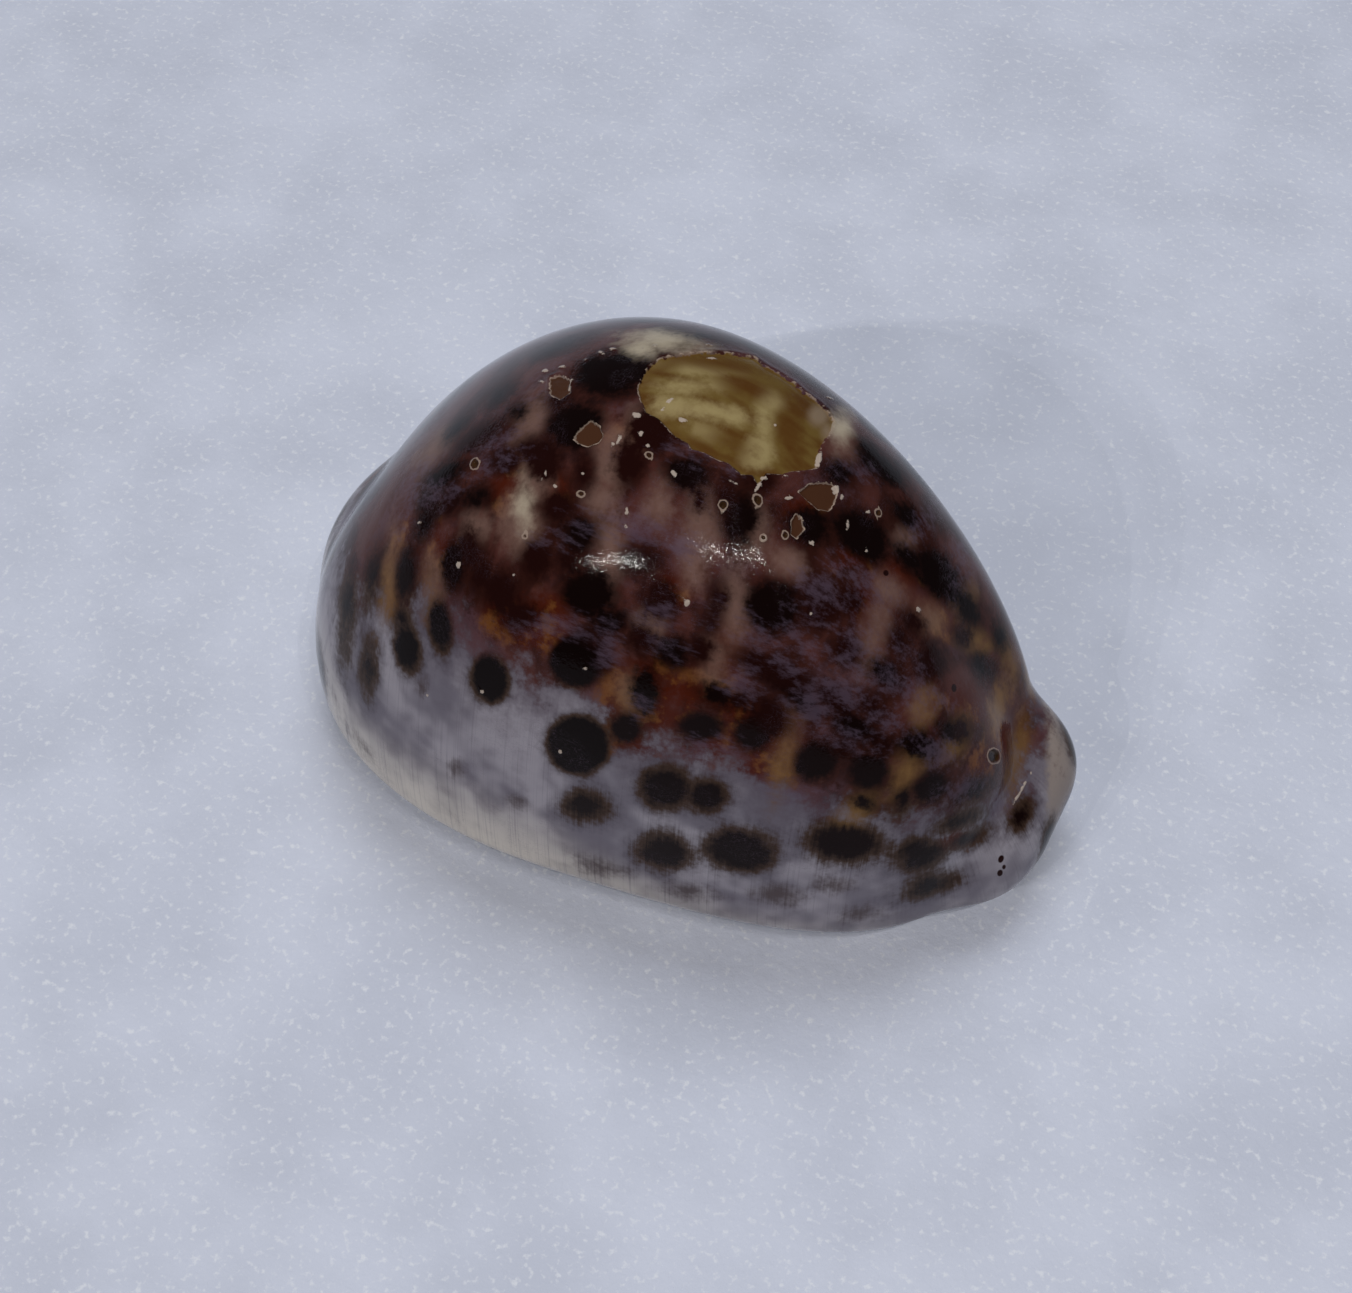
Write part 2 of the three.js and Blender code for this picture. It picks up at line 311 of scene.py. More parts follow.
endness = np.where(end == 0, 0, np.sin(math.pi * turn))
roll = mix(*LIP_ROLL, endness)
inner_roll = mix(*INNER_ROLL, endness)
outer_target = directions_to(outline_points(roll, 0, CANAL_HEIGHT, NOSE))
edge = skin_points(origins, directions_to(outline_points(0, 0, CANAL_HEIGHT, NOSE)))
sill_way = directions_to(outline_points(0, FLOOR_THICKNESS, INNER_CANAL, INNER_NOSE))
sill = reach(origins, sill_way, cavity_field)
inner_target = directions_to(
    outline_points(inner_roll, FLOOR_THICKNESS, INNER_CANAL, INNER_NOSE)
)
depth = np.linalg.norm(sill - edge, axis=-1)
wall = (sill - edge) / depth[:, None]
lip_start = skin_points(origins, outer_target)
lip_end = edge + wall * np.minimum(roll, depth * LIP_SHARE)[:, None]
sill_start = sill - wall * np.minimum(inner_roll, depth * SILL_SHARE)[:, None]
floor_start = reach(origins, inner_target, cavity_field)
print("the slot's walls are", depth.min().round(1), "to", depth.max().round(1), "mm deep")

# %% [markdown]
# ## The fine surface
# Rings run round the shell from the crest of the back down to the slot, over the toothed lip
# and up into the hollow. The teeth are ridges across the lip with smooth troughs between, one
# to every 4/3 spokes of the part's source, which has 30 along a side and 24 in a fan.

# %% Rings of the outside and of the hollow
OUTER_RINGS = 126
INNER_RINGS = 20
LIP_STEPS = 14
WALL_STEPS = 4
RING_CROWDING = 0.05
MARGIN_PLACE = 0.16
GROOVE_DEPTH = 0.8
GROOVE_ONSET = 0.45
GROOVE_STEEPNESS = 0.62
TEETH_REACH = (27, 33)
TOOTH_SPOKES = 4 / 3
SOURCE_SIDE = 30
SOURCE_FAN = 24

# How far down the sweep each stretch lies: the back from 0 to 1, then the lip, wall and hollow
LIP_SPAN = 0.2
WALL_SPAN = 0.1
WALL_PART = 0.8
SILL_PLACE = 1.4
CROWN_PLACE = 2.4


def ring_place(t):
    return t + RING_CROWDING * (
        np.sin(2 * math.pi * (t - MARGIN_PLACE)) + np.sin(2 * math.pi * MARGIN_PLACE)
    )


def spoke_directions(targets, t):
    """The spokes' directions at t, from 0 at the crest to 1 at the targets."""
    polar = np.arctan2(np.hypot(targets[:, 0], targets[:, 1]), targets[:, 2])
    azimuth = np.arctan2(targets[:, 1], targets[:, 0])
    fan_start = math.pi * (turn - 0.5) + np.where(end < 0, math.pi, 0)
    start = np.where(end == 0, azimuth, fan_start)
    swing = azimuth - start
    swing -= np.round(swing / (2 * math.pi)) * 2 * math.pi
    around = start + swing * smooth_step(t)
    flat = np.sin(polar * t)
    return np.stack([flat * np.cos(around), flat * np.sin(around), np.cos(polar * t)], axis=-1)


def quadratic(a, b, c, t):
    return a * (1 - t) ** 2 + b * 2 * t * (1 - t) + c * t * t


def doubled(values):
    """Values for twice as many spokes, with each new one halfway between two old ones."""
    between = (values + np.roll(values, -1, axis=0)) / 2
    return np.stack([values, between], axis=1).reshape(-1, values.shape[-1])


fine_start = doubled(lip_start)
fine_edge = doubled(edge)
fine_end = doubled(lip_end)
fine_sill = doubled(sill_start)
into_lip = unit((fine_start + fine_end) / 2 - fine_edge)

half_steps = np.append(
    np.linspace(0, SOURCE_SIDE, SIDE_STEPS + 1), SOURCE_SIDE + fan_turns * SOURCE_FAN
)
coarse_steps = np.append(half_steps, half_steps + SOURCE_SIDE + SOURCE_FAN)
next_steps = np.append(coarse_steps[1:], 2 * (SOURCE_SIDE + SOURCE_FAN))
fine_steps = np.stack([coarse_steps, (coarse_steps + next_steps) / 2], axis=1).ravel()
tooth_wave = np.sin(2 * math.pi * fine_steps / TOOTH_SPOKES)
trough = smooth_step(0.5 - GROOVE_STEEPNESS * tooth_wave)
tooth_fade = smooth_step((np.abs(fine_edge[:, 0]) - TEETH_REACH[0]) / np.ptp(TEETH_REACH))
groove = GROOVE_DEPTH * trough * (1 - tooth_fade)

rings = []
for i in range(OUTER_RINGS):
    t = ring_place(i / OUTER_RINGS)
    rings.append((t, skin_points(origins, spoke_directions(outer_target, t))))
for i in range(LIP_STEPS + 1):
    t = i / LIP_STEPS
    bite = groove * smooth_step(t / GROOVE_ONSET)
    points = quadratic(fine_start, fine_edge, fine_end, t) + into_lip * bite[:, None]
    points[:, 2] = np.maximum(points[:, 2], 0)
    rings.append((1 + t * LIP_SPAN, points))
for i in range(1, WALL_STEPS + 1):
    t = i / WALL_STEPS
    points = mix(fine_end, fine_sill, t * WALL_PART) + into_lip * (groove * (1 - t))[:, None]
    rings.append((1 + LIP_SPAN + t * WALL_SPAN, points))
rings.append((SILL_PLACE, quadratic(sill_start, sill, floor_start, 0.5)))
for i in range(INNER_RINGS, -1, -1):
    t = i / INNER_RINGS
    points = reach(origins, spoke_directions(inner_target, t), cavity_field)
    rings.append((CROWN_PLACE - t, points))
print(len(rings), "rings")

# %% Join the rings into one closed surface
point_list = []
sweep_list = []
number_list = []
total = 0
for ring, (place, points) in enumerate(rings):
    is_crest = ring in (0, len(rings) - 1)
    if is_crest:
        numbers = total + np.round(station * SIDE_STEPS).astype(int)
        points = points[: SIDE_STEPS + 1]
        angle = np.full(len(points), math.pi / 2)
    else:
        numbers = total + np.arange(len(points))
        angle = 2 * math.pi * np.arange(len(points)) / len(points)
    sweep = np.stack([np.cos(angle), np.sin(angle), np.full(len(points), place)], axis=-1)
    point_list.append(points)
    sweep_list.append(sweep)
    number_list.append(numbers)
    total += len(points)

strips = []
for high, low in zip(number_list[:-1], number_list[1:]):
    if len(high) == len(low):
        high_next = np.roll(high, -1)
        low_next = np.roll(low, -1)
        strips.append(np.stack([high, low, low_next], axis=-1))
        strips.append(np.stack([high, low_next, high_next], axis=-1))
    else:
        flipped = len(high) > len(low)
        coarse, fine = (low, high) if flipped else (high, low)
        start, middle, stop = fine[0::2], fine[1::2], np.roll(fine[0::2], -1)
        after = np.roll(coarse, -1)
        for corners in ((coarse, start, middle), (coarse, middle, after), (after, middle, stop)):
            faces = np.stack(corners, axis=-1)
            strips.append(faces[:, ::-1] if flipped else faces)
points = np.concatenate(point_list)
sweep = np.concatenate(sweep_list)
triangles = np.concatenate(strips)
distinct = (triangles != np.roll(triangles, 1, axis=1)).all(axis=1)
triangles = triangles[distinct]
print(len(points), "vertices and", len(triangles), "triangles before the small damage")

# %% [markdown]
# ## Reading marks off the photograph
# Each mark is an ellipse: the pixel of its middle, its half-sizes in pixels and a tilt. The
# camera's ray through the pixel finds its place on the surface. From there on the mark is a
# small solid ellipse in space, so it also looks right from the other sides.

# %% From a pixel to a place on the shell
RAY_START = 120
RAY_STOP = 280
RAY_STEPS = 200


def photo_places(pixels):
    """Where the camera's rays through these pixels first meet the shell."""
    pixels = np.asarray(pixels, dtype=float)
    across = (pixels[:, 0] - PHOTO_SIZE[0] / 2) / PIXEL_FOCAL
    up = (PHOTO_SIZE[1] / 2 - pixels[:, 1]) / PIXEL_FOCAL
    ways = unit(across[:, None] * view_right + up[:, None] * view_up - view_back)
    depths = np.linspace(RAY_START, RAY_STOP, RAY_STEPS)
    samples = eye + ways[:, None, :] * depths[None, :, None]
    fields = shell_field(samples)
    hit = fields < 0
    nearest = np.where(hit.any(axis=1), hit.argmax(axis=1), fields.argmin(axis=1))
    far = depths[nearest]
    near = far - (depths[1] - depths[0])
    for _ in range(BISECTIONS):
        middle = (near + far) / 2
        outside = shell_field(eye + ways * middle[:, None]) > 0
        near = np.where(outside, middle, near)
        far = np.where(outside, far, middle)
    return eye + ways * near[:, None]


def to_pixels(p):
    """Where points show in the photograph."""
    ways = p - eye
    distance = -ways @ view_back
    across = PHOTO_SIZE[0] / 2 + PIXEL_FOCAL * (ways @ view_right) / distance
    down = PHOTO_SIZE[1] / 2 - PIXEL_FOCAL * (ways @ view_up) / distance
    return np.stack([across, down], axis=-1)


test_pixel = [(676, 560)]
print("the middle of the photograph is at", photo_places(test_pixel).round(1), "mm")

# %% How near each vertex is to a mark
MARK_DEPTH = 2.5
MARK_REACH = 9.0
LOWEST_MASK = -4.0


def photo_marks(readings):
    """(place, 3 x 3 matrix, radius in mm) for each reading: x, y, across, down, and the tilt in
    degrees if it has one."""
    places = photo_places([reading[:2] for reading in readings])
    normals = slope_of(places)
    marks = []
    for (_, _, across, down, *tilt), place, normal in zip(readings, places, normals):
        scale = PIXEL_FOCAL / ((eye - place) @ view_back)
        angle = math.radians(tilt[0]) if tilt else 0
        c, s = math.cos(angle), math.sin(angle)
        u = (c * view_right - s * view_up) * scale / across
        v = (-s * view_right - c * view_up) * scale / down
        marks.append((place, np.stack([u, v, normal / MARK_DEPTH]), min(across, down) / scale))
    return marks


def edge_distance(p, mark):
    """Roughly how far inside a mark's edge the points are, in mm."""
    place, matrix, radius = mark
    return (1 - np.linalg.norm((p - place) @ matrix.T, axis=-1)) * radius


def spread(p, marks, softness):
    """The highest of the marks' edge distances, in units of their softness."""
    highest = np.full(len(p), LOWEST_MASK)
    for mark in marks:
        near = np.where((np.abs(p - mark[0]) < MARK_REACH).all(axis=1))[0]
        found = edge_distance(p[near], mark) / softness
        highest[near] = np.maximum(highest[near], found)
    return highest


print("marks reach", MARK_DEPTH, "mm off the tangent plane")

# %% [markdown]
# ## The readings
# Dark spots on the pale margin have crisp edges with a thin amber rim, and those close to the
# base are blurred and fringed. On the back, dark blotches lie deep under the glaze, so their
# edges are soft, and pale windows stand between them in columns that run down the side.

# %% Spots on the pale margin
CRISP_SPOTS = [
    (578, 745, 30, 29), (490, 679, 19, 22), (407, 648, 13, 22, -8), (440, 625, 11, 24, -5),
    (576, 661, 26, 26),
]
SOFT_SPOTS = [
    (405, 573, 11, 25, 5), (454, 565, 13, 23), (402, 620, 7, 9), (347, 610, 6, 31, 6),
    (369, 667, 7, 17, 8), (373, 575, 6, 19, 10), (665, 788, 23, 20), (706, 796, 17, 13),
    (740, 850, 31, 21, 5), (815, 761, 22, 20), (869, 772, 19, 19), (754, 733, 20, 18),
    (701, 727, 22, 14), (626, 728, 15, 15), (903, 800, 9, 14, 20), (930, 788, 20, 15, -20),
    (960, 821, 17, 7, -20), (922, 856, 22, 12, -14), (1021, 815, 8, 11, 30),
    (965, 839, 13, 6, -15), (863, 802, 12, 8, 20),
]
FRINGED_SPOTS = [
    (586, 806, 17, 12), (665, 852, 22, 16), (844, 843, 32, 18, 5), (915, 852, 18, 10, -15),
    (930, 885, 19, 9, -10),
]
SMUDGES = [
    (456, 769, 8, 10, 20), (518, 803, 11, 9), (604, 868, 26, 9, 12), (422, 688, 7, 10, 15),
    (688, 891, 28, 9, 9), (777, 895, 30, 12, 6), (861, 914, 24, 10, -5), (334, 695, 4, 18, -15),
    (362, 745, 6, 16, -35), (832, 885, 24, 9),
]
DARK_DOTS = [
    (1001, 859, 3.0, 4.0, 20), (1000, 873, 3.0, 3.5), (1004, 867, 2, 2.4), (886, 573, 3, 3),
    (954, 688, 3, 4), (994, 757, 5, 4, 30),
]
print(len(CRISP_SPOTS + SOFT_SPOTS + FRINGED_SPOTS), "dark spots on the margin")

# %% Blotches, windows and glow on the back
BLACK_BLOTCHES = [
    (610, 374, 34, 26, 10), (575, 425, 28, 26), (588, 592, 27, 24), (608, 622, 17, 13),
    (773, 606, 28, 26, 10), (808, 527, 25, 20, 20), (862, 536, 34, 22, 35), (910, 560, 22, 14, 40),
    (883, 466, 28, 15, 35), (938, 575, 34, 19, 48), (742, 517, 18, 25), (520, 412, 10, 9),
    (447, 475, 23, 13, -28), (690, 474, 24, 17, 20), (578, 534, 20, 16), (477, 497, 18, 12),
    (981, 666, 14, 10, 50), (966, 606, 26, 12, 58), (1000, 636, 14, 8, 65), (718, 696, 19, 11, 20),
    (645, 690, 14, 25), (907, 515, 16, 11, 40), (840, 472, 14, 11, 20), (500, 395, 16, 10, -35),
    (705, 336, 24, 5, 12), (756, 347, 26, 6, 22), (810, 378, 26, 6, 36), (875, 458, 24, 12, 45),
    (855, 728, 26, 12, 30), (918, 745, 22, 14, 15), (885, 672, 18, 11, 30), (675, 651, 20, 15),
    (560, 345, 26, 8, -18), (455, 430, 18, 8, -50), (426, 520, 9, 18, 20), (800, 700, 24, 10, 32),
    (948, 730, 12, 12), (975, 790, 16, 9, -20), (640, 372, 12, 16),
]
RED_BLOTCHES = [
    (480, 436, 26, 11, -22), (557, 505, 17, 14), (628, 462, 17, 22), (820, 607, 18, 23),
    (652, 428, 24, 24), (785, 678, 32, 13, 32), (930, 660, 16, 19, 20), (836, 700, 20, 12, 30),
    (870, 706, 15, 10, 35), (770, 711, 18, 12, 38), (545, 462, 18, 24), (500, 592, 18, 20),
    (536, 560, 16, 18), (470, 552, 12, 24), (640, 560, 20, 15), (845, 650, 16, 14, 20),
    (745, 447, 10, 8), (505, 462, 16, 13), (914, 622, 14, 11, 30), (964, 636, 12, 10, 40),
    (712, 622, 10, 9), (590, 640, 16, 10), (880, 742, 14, 9, 25), (842, 748, 14, 10),
    (530, 448, 14, 11), (430, 505, 14, 16), (700, 500, 9, 14), (520, 615, 22, 14),
    (660, 600, 18, 20), (700, 650, 16, 14), (760, 480, 14, 12), (560, 400, 12, 12),
    (900, 640, 10, 12, 20), (960, 730, 12, 14, 20), (642, 640, 14, 14), (740, 700, 16, 10, 10),
    (768, 668, 38, 12, 25), (765, 725, 26, 16), (826, 606, 14, 20), (720, 600, 10, 16),
    (450, 500, 12, 14), (585, 470, 10, 18), (570, 560, 14, 12), (480, 575, 12, 16),
    (680, 430, 12, 14), (725, 500, 10, 20), (850, 600, 14, 16, 20), (600, 660, 10, 12),
]
TAN_WINDOWS = [
    (531, 416, 13, 24, 20), (519, 522, 18, 28), (477, 526, 12, 14), (610, 462, 13, 32),
    (620, 440, 16, 11), (609, 545, 12, 32), (435, 447, 20, 12, -45), (536, 482, 16, 18),
    (700, 524, 14, 34), (694, 570, 11, 16), (734, 612, 12, 32), (786, 562, 16, 12),
    (652, 622, 12, 12), (890, 590, 14, 13, 20), (875, 634, 10, 24, 12), (929, 617, 16, 13, 30),
    (977, 640, 13, 10, 20), (922, 708, 10, 15, 20), (842, 440, 13, 18, 15),
    (1011, 662, 5, 14, -20), (957, 735, 9, 16, 15), (757, 530, 10, 18), (786, 754, 9, 28, 10),
    (857, 810, 10, 18, 35), (907, 770, 9, 22, 20), (715, 662, 10, 20), (998, 706, 7, 18, 25),
    (630, 694, 9, 15), (1017, 752, 6, 22, 15), (660, 505, 10, 18), (431, 580, 8, 20),
    (390, 575, 6, 26, 8), (640, 420, 12, 12), (905, 540, 10, 10, 30), (965, 600, 8, 12, 40),
    (600, 500, 9, 14),
]
CREAM_WINDOWS = [
    (662, 339, 32, 10, 8), (640, 350, 12, 9), (843, 426, 9, 14, 20), (524, 506, 5, 12),
]
AMBER_GLOWS = [
    (545, 612, 26, 16), (498, 612, 12, 16), (640, 680, 22, 22), (676, 696, 24, 15),
    (717, 664, 18, 16), (784, 750, 14, 26), (757, 769, 16, 13), (740, 712, 14, 12),
    (709, 746, 14, 9), (617, 700, 10, 18), (400, 545, 5, 20, 10), (1000, 725, 12, 24, 5),
    (505, 490, 16, 20), (730, 640, 15, 20), (900, 575, 17, 15, 30), (968, 700, 18, 20, 20),
    (540, 636, 18, 8), (860, 600, 12, 14), (800, 510, 14, 12), (955, 838, 12, 8, -15),
    (678, 588, 20, 14), (440, 548, 10, 14), (985, 760, 12, 12), (930, 615, 24, 16, 30),
    (635, 745, 14, 10), (620, 440, 18, 20), (850, 560, 12, 8), (506, 485, 16, 14),
    (715, 690, 26, 16, 20), (760, 740, 30, 12, 20), (660, 715, 20, 14), (556, 485, 12, 14),
]
# Violet veils of worn glaze; those along the two rows of glints are also painted sheen
VIOLET_VEILS_AND_SHEEN = [
    (640, 531, 34, 12, 6), (684, 545, 20, 14, 5), (771, 654, 42, 7, 30), (741, 682, 18, 15, 30),
    (811, 709, 23, 16, 25), (845, 692, 26, 13, 30), (845, 737, 30, 9, 20), (858, 470, 18, 9, 20),
    (668, 614, 18, 8, 10), (671, 648, 14, 7, 10), (857, 578, 32, 12, 32), (966, 548, 9, 40, 22),
    (560, 626, 28, 8), (608, 645, 12, 20), (490, 466, 24, 8, -20), (735, 468, 12, 6),
    (800, 640, 24, 9, 28), (905, 690, 24, 12, 35), (890, 722, 28, 10, 30), (440, 492, 20, 9, -10),
    (822, 590, 26, 10, 32), (690, 452, 14, 6, 10), (940, 752, 18, 14, 25), (500, 440, 20, 7, -25),
    (925, 520, 9, 28, 35), (860, 642, 26, 11, 30), (700, 746, 30, 8, 5), (780, 792, 26, 8, 15),
    (640, 705, 8, 8), (960, 790, 22, 10, -12), (1000, 800, 14, 16, 10), (540, 396, 14, 6, -20),
    (780, 376, 30, 5, 32), (760, 630, 26, 5, 30), (900, 650, 20, 5, 35), (930, 690, 20, 6, 35),
    (850, 665, 34, 6, 32), (820, 620, 22, 5, 30), (600, 520, 16, 6, 5), (560, 540, 18, 5, 5),
    (410, 500, 8, 22, 15), (420, 470, 16, 6, -35),
]
print(len(BLACK_BLOTCHES) + len(RED_BLOTCHES), "blotches and", len(TAN_WINDOWS), "windows")

# %% The flaked patch and the small damage
PATCH_OUTLINE = [
    (642, 377), (649, 366), (662, 358), (676, 355), (704, 352), (730, 353), (754, 357), (766, 366),
    (779, 373), (796, 384), (804, 392), (817, 401), (828, 411), (834, 422), (829, 435), (824, 441),
    (819, 452), (818, 467), (806, 470), (791, 471), (783, 474), (767, 473), (758, 484), (753, 475),
    (741, 474), (729, 463), (717, 459), (704, 452), (692, 449), (688, 443), (675, 436), (667, 427),
    (658, 418), (646, 412), (641, 400), (638, 388),
]
LEFT_FLAKE = [
    (574, 439), (577, 431), (584, 425), (590, 420), (599, 426), (603, 436), (598, 442),
    (588, 446), (578, 443),
]
RIGHT_FLAKE = [
    (799, 492), (810, 484), (822, 482), (832, 484), (837, 491), (835, 501), (829, 511),
    (818, 509), (806, 499),
]
UPPER_FLAKE = [(550, 378), (560, 375), (570, 380), (570, 392), (560, 399), (550, 394)]
LOWER_FLAKE = [(792, 521), (797, 513), (802, 520), (804, 530), (797, 538), (791, 534)]
# Painted highlights: pale zones that stand in for the diffuse shine on the flaked patch
PATCH_PAINTED_HIGHLIGHTS = [
    (695, 384, 28, 7, 3), (674, 406, 20, 9, 5), (709, 409, 24, 9, 8), (759, 452, 15, 16),
    (763, 420, 8, 20), (705, 430, 14, 6, 20), (735, 415, 14, 8, 10), (770, 400, 10, 8),
    (690, 368, 20, 4, 5),
]
BROWN_ZONES = [
    (745, 386, 22, 12, 15), (728, 440, 20, 7, 25), (793, 432, 13, 24), (665, 366, 16, 5, -25),
    (722, 362, 40, 6, 8), (800, 400, 16, 7, 35), (700, 446, 20, 6, 25),
]
GREY_ZONES = [(820, 414, 10, 12, 30), (828, 430, 5, 9)]
FLECKS = [
    (636, 415, 5.5, 3.2, 15), (682, 419, 4.5, 2.8, 10), (670, 399, 4, 1.8, -40),
    (663, 407, 3, 1.6, -30), (712, 357, 5, 1.6, 5), (709, 345, 3, 1.2, 5), (601, 353, 3.5, 2, 30),
    (586, 360, 2, 1.6), (613, 349, 3, 1.4, 10), (583, 474, 2, 2), (546, 473, 1.5, 2),
    (542, 480, 1.5, 2), (555, 486, 1.5, 1.5), (459, 565, 3, 3), (514, 575, 1.6, 1.6),
    (420, 523, 2, 1.5), (674, 474, 2, 4, -30), (627, 512, 1.8, 3.5), (626, 526, 1.5, 2),
    (847, 525, 1.8, 4, 10), (812, 543, 2.5, 2.5), (866, 551, 2, 2), (918, 609, 3, 2, 30),
    (811, 613, 1.5, 1.5), (641, 434, 3, 3), (763, 539, 3.5, 2.6, -40), (545, 371, 3, 2),
    (562, 367, 3, 1.5), (613, 444, 1.5, 1.5), (776, 424, 1.5, 1.5), (655, 346, 2, 1.2),
    (786, 476, 3, 1.2, 5), (735, 484, 4, 1.2, 35), (687, 603, 1.8, 2.6, 30), (829, 398, 3, 1, 10),
    (585, 668, 2.5, 1.8), (482, 692, 2.2, 1.6), (428, 695, 2, 1.6), (560, 752, 2, 1.6),
    (868, 512, 2, 2), (836, 489, 3, 4), (841, 497, 2, 3, 20), (619, 440, 2, 4, 30),
    (648, 446, 2, 2), (570, 384, 1.6, 5, 20), (542, 382, 3, 1.4, 20), (788, 498, 5, 1, -10),
    (758, 487, 2.2, 5, 30), (764, 478, 2.6, 2), (819, 459, 2.2, 8, 15), (1021, 790, 16, 1.0, -54),
]
RINGED_PITS = [
    (757.5, 500, 4.5, 6, -20), (723, 505, 4.5, 5), (649, 455, 4, 3.4, 10), (878, 513, 3.6, 4),
    (785, 535, 3.4, 4), (525, 536, 3, 2.4), (581, 494, 4, 3), (763, 538, 3.4, 3.4),
    (994, 756, 9, 7.5, 30), (475, 464, 5, 6, 10),
]
print(len(FLECKS), "flecks and", len(RINGED_PITS), "ringed pits")

# %% [markdown]
# ## Refining the surface round the damage
# The flaked patch has a step as thin as a fingernail all round, and the flecks are smaller
# than the rings' spacing. Edges near them are split until they are short enough, and each new
# vertex is seated on the form again.

# %% Distance to an outline drawn on the photograph


def outline_distance(pixels, outline):
    """Signed distance in pixels to a closed outline, above zero inside it."""
    corners = np.array(outline, dtype=float)
    nearest = np.full(len(pixels), np.inf)
    inside = np.zeros(len(pixels), dtype=bool)
    for a, b in zip(corners, np.roll(corners, -1, axis=0)):
        part = np.clip((pixels - a) @ (b - a) / ((b - a) @ (b - a)), 0, 1)
        gap = np.linalg.norm(pixels - a - part[:, None] * (b - a), axis=-1)
        nearest = np.minimum(nearest, gap)
        crosses = (a[1] > pixels[:, 1]) != (b[1] > pixels[:, 1])
        steepness = (b[0] - a[0]) / (b[1] - a[1] + TINY)
        inside ^= crosses & (pixels[:, 0] < a[0] + (pixels[:, 1] - a[1]) * steepness)
    return np.where(inside, nearest, -nearest)


FLAKES = [PATCH_OUTLINE, LEFT_FLAKE, RIGHT_FLAKE, UPPER_FLAKE, LOWER_FLAKE]
FLAKE_MIDDLES = photo_places([np.mean(outline, axis=0) for outline in FLAKES])
PLACED_FLAKES = list(zip(FLAKES, FLAKE_MIDDLES))
PIXELS_PER_MM = PIXEL_FOCAL / VIEW_DISTANCE
FAR_OUTSIDE = -6.0
REACH_SHARE = 0.75
REACH_EXTRA = 3


def flake_distance(p, flakes=PLACED_FLAKES):
    """Signed distance in mm to the nearest flaked outline, for the seen side of the skin."""
    distance = np.full(len(p), FAR_OUTSIDE)
    pixels = to_pixels(p)
    for outline, middle in flakes:
        size = np.ptp(np.array(outline), axis=0).max() / PIXELS_PER_MM
        near = np.linalg.norm(p - middle, axis=-1) < size * REACH_SHARE + REACH_EXTRA
        found = outline_distance(pixels[near], outline) / PIXELS_PER_MM
        distance[near] = np.maximum(distance[near], found)
    return distance


print(len(FLAKES), "places where the glaze has flaked off")

# %% Split the long edges near the damage
EDGE_BAND = 0.7
EDGE_SPACING = 0.2
PATCH_SPACING = 0.45
FLECK_BAND = 0.35
FLECK_SPACING = 0.15
SPLIT_ROUNDS = 3
small_marks = photo_marks(FLECKS + RINGED_PITS + DARK_DOTS)


def wanted_spacing(p):
    """The longest edge allowed at points p, in mm."""
    spacing = np.full(len(p), np.inf)
    flake = flake_distance(p)
    spacing[flake > 0] = PATCH_SPACING
    spacing[np.abs(flake) < EDGE_BAND] = EDGE_SPACING
    spacing[spread(p, small_marks, 1.0) > -FLECK_BAND] = FLECK_SPACING
    return spacing


def seat(p):
    """Points moved onto the form, along a ray from the spine."""
    starts = spine_points(np.clip(p[:, 0], *SPINE))
    return skin_points(starts, unit(p - starts))


def split_long_edges(points, sweep, triangles):
    """One round of splitting. Returns the new arrays and how many edges were split."""
    on_skin = (sweep[triangles][:, :, 2] < 1).all(axis=1)
    sides = np.sort(np.stack([triangles, np.roll(triangles, -1, axis=1)], axis=-1), axis=-1)
    keys, where = np.unique(sides[..., 0] * len(points) + sides[..., 1], return_inverse=True)
    pairs = np.stack(np.divmod(keys, len(points)), axis=-1)
    where = where.reshape(-1, 3)
    spans = np.linalg.norm(points[pairs[:, 0]] - points[pairs[:, 1]], axis=-1)
    middles = points[pairs].mean(axis=1)
    candidates = np.zeros(len(pairs), dtype=bool)
    candidates[where[on_skin]] = True
    candidates &= spans > FLECK_SPACING
    split = candidates.copy()
    split[candidates] = spans[candidates] > wanted_spacing(middles[candidates])
    number = np.full(len(pairs), -1)
    number[split] = len(points) + np.arange(split.sum())
    new_points = seat(middles[split])
    new_sweep = sweep[pairs[split]].mean(axis=1)
    middle = number[where]
    marked = (middle >= 0).sum(axis=1)
    pieces = [triangles[marked == 0]]
    for count in (1, 2, 3):
        rows = np.where(marked == count)[0]
        if count == 1:
            first = (middle[rows] >= 0).argmax(axis=1)
        else:
            first = ((middle[rows] < 0).argmax(axis=1) + 1) % 3
        order = (first[:, None] + np.arange(3)) % 3
        a, b, c = np.take_along_axis(triangles[rows], order, axis=1).T
        ab, bc, ca = np.take_along_axis(middle[rows], order, axis=1).T
        if count == 1:
            parts = [(a, ab, c), (ab, b, c)]
        elif count == 2:
            parts = [(ab, b, bc), (a, ab, bc), (a, bc, c)]
        else:
            parts = [(a, ab, ca), (ab, b, bc), (ca, bc, c), (ab, bc, ca)]
        pieces += [np.stack(part, axis=-1) for part in parts]
    return (
        np.concatenate([points, new_points]),
        np.concatenate([sweep, new_sweep]),
        np.concatenate(pieces),
        int(split.sum()),
    )


for _ in range(SPLIT_ROUNDS):
    points, sweep, triangles, splits = split_long_edges(points, sweep, triangles)
    print(splits, "edges split,", len(triangles), "triangles")

# %% [markdown]
# ## Masks on the surface
# Every vertex gets a set of numbers that say how deep it is inside each kind of mark. The
# material turns them into colours and breaks their edges up with noise.

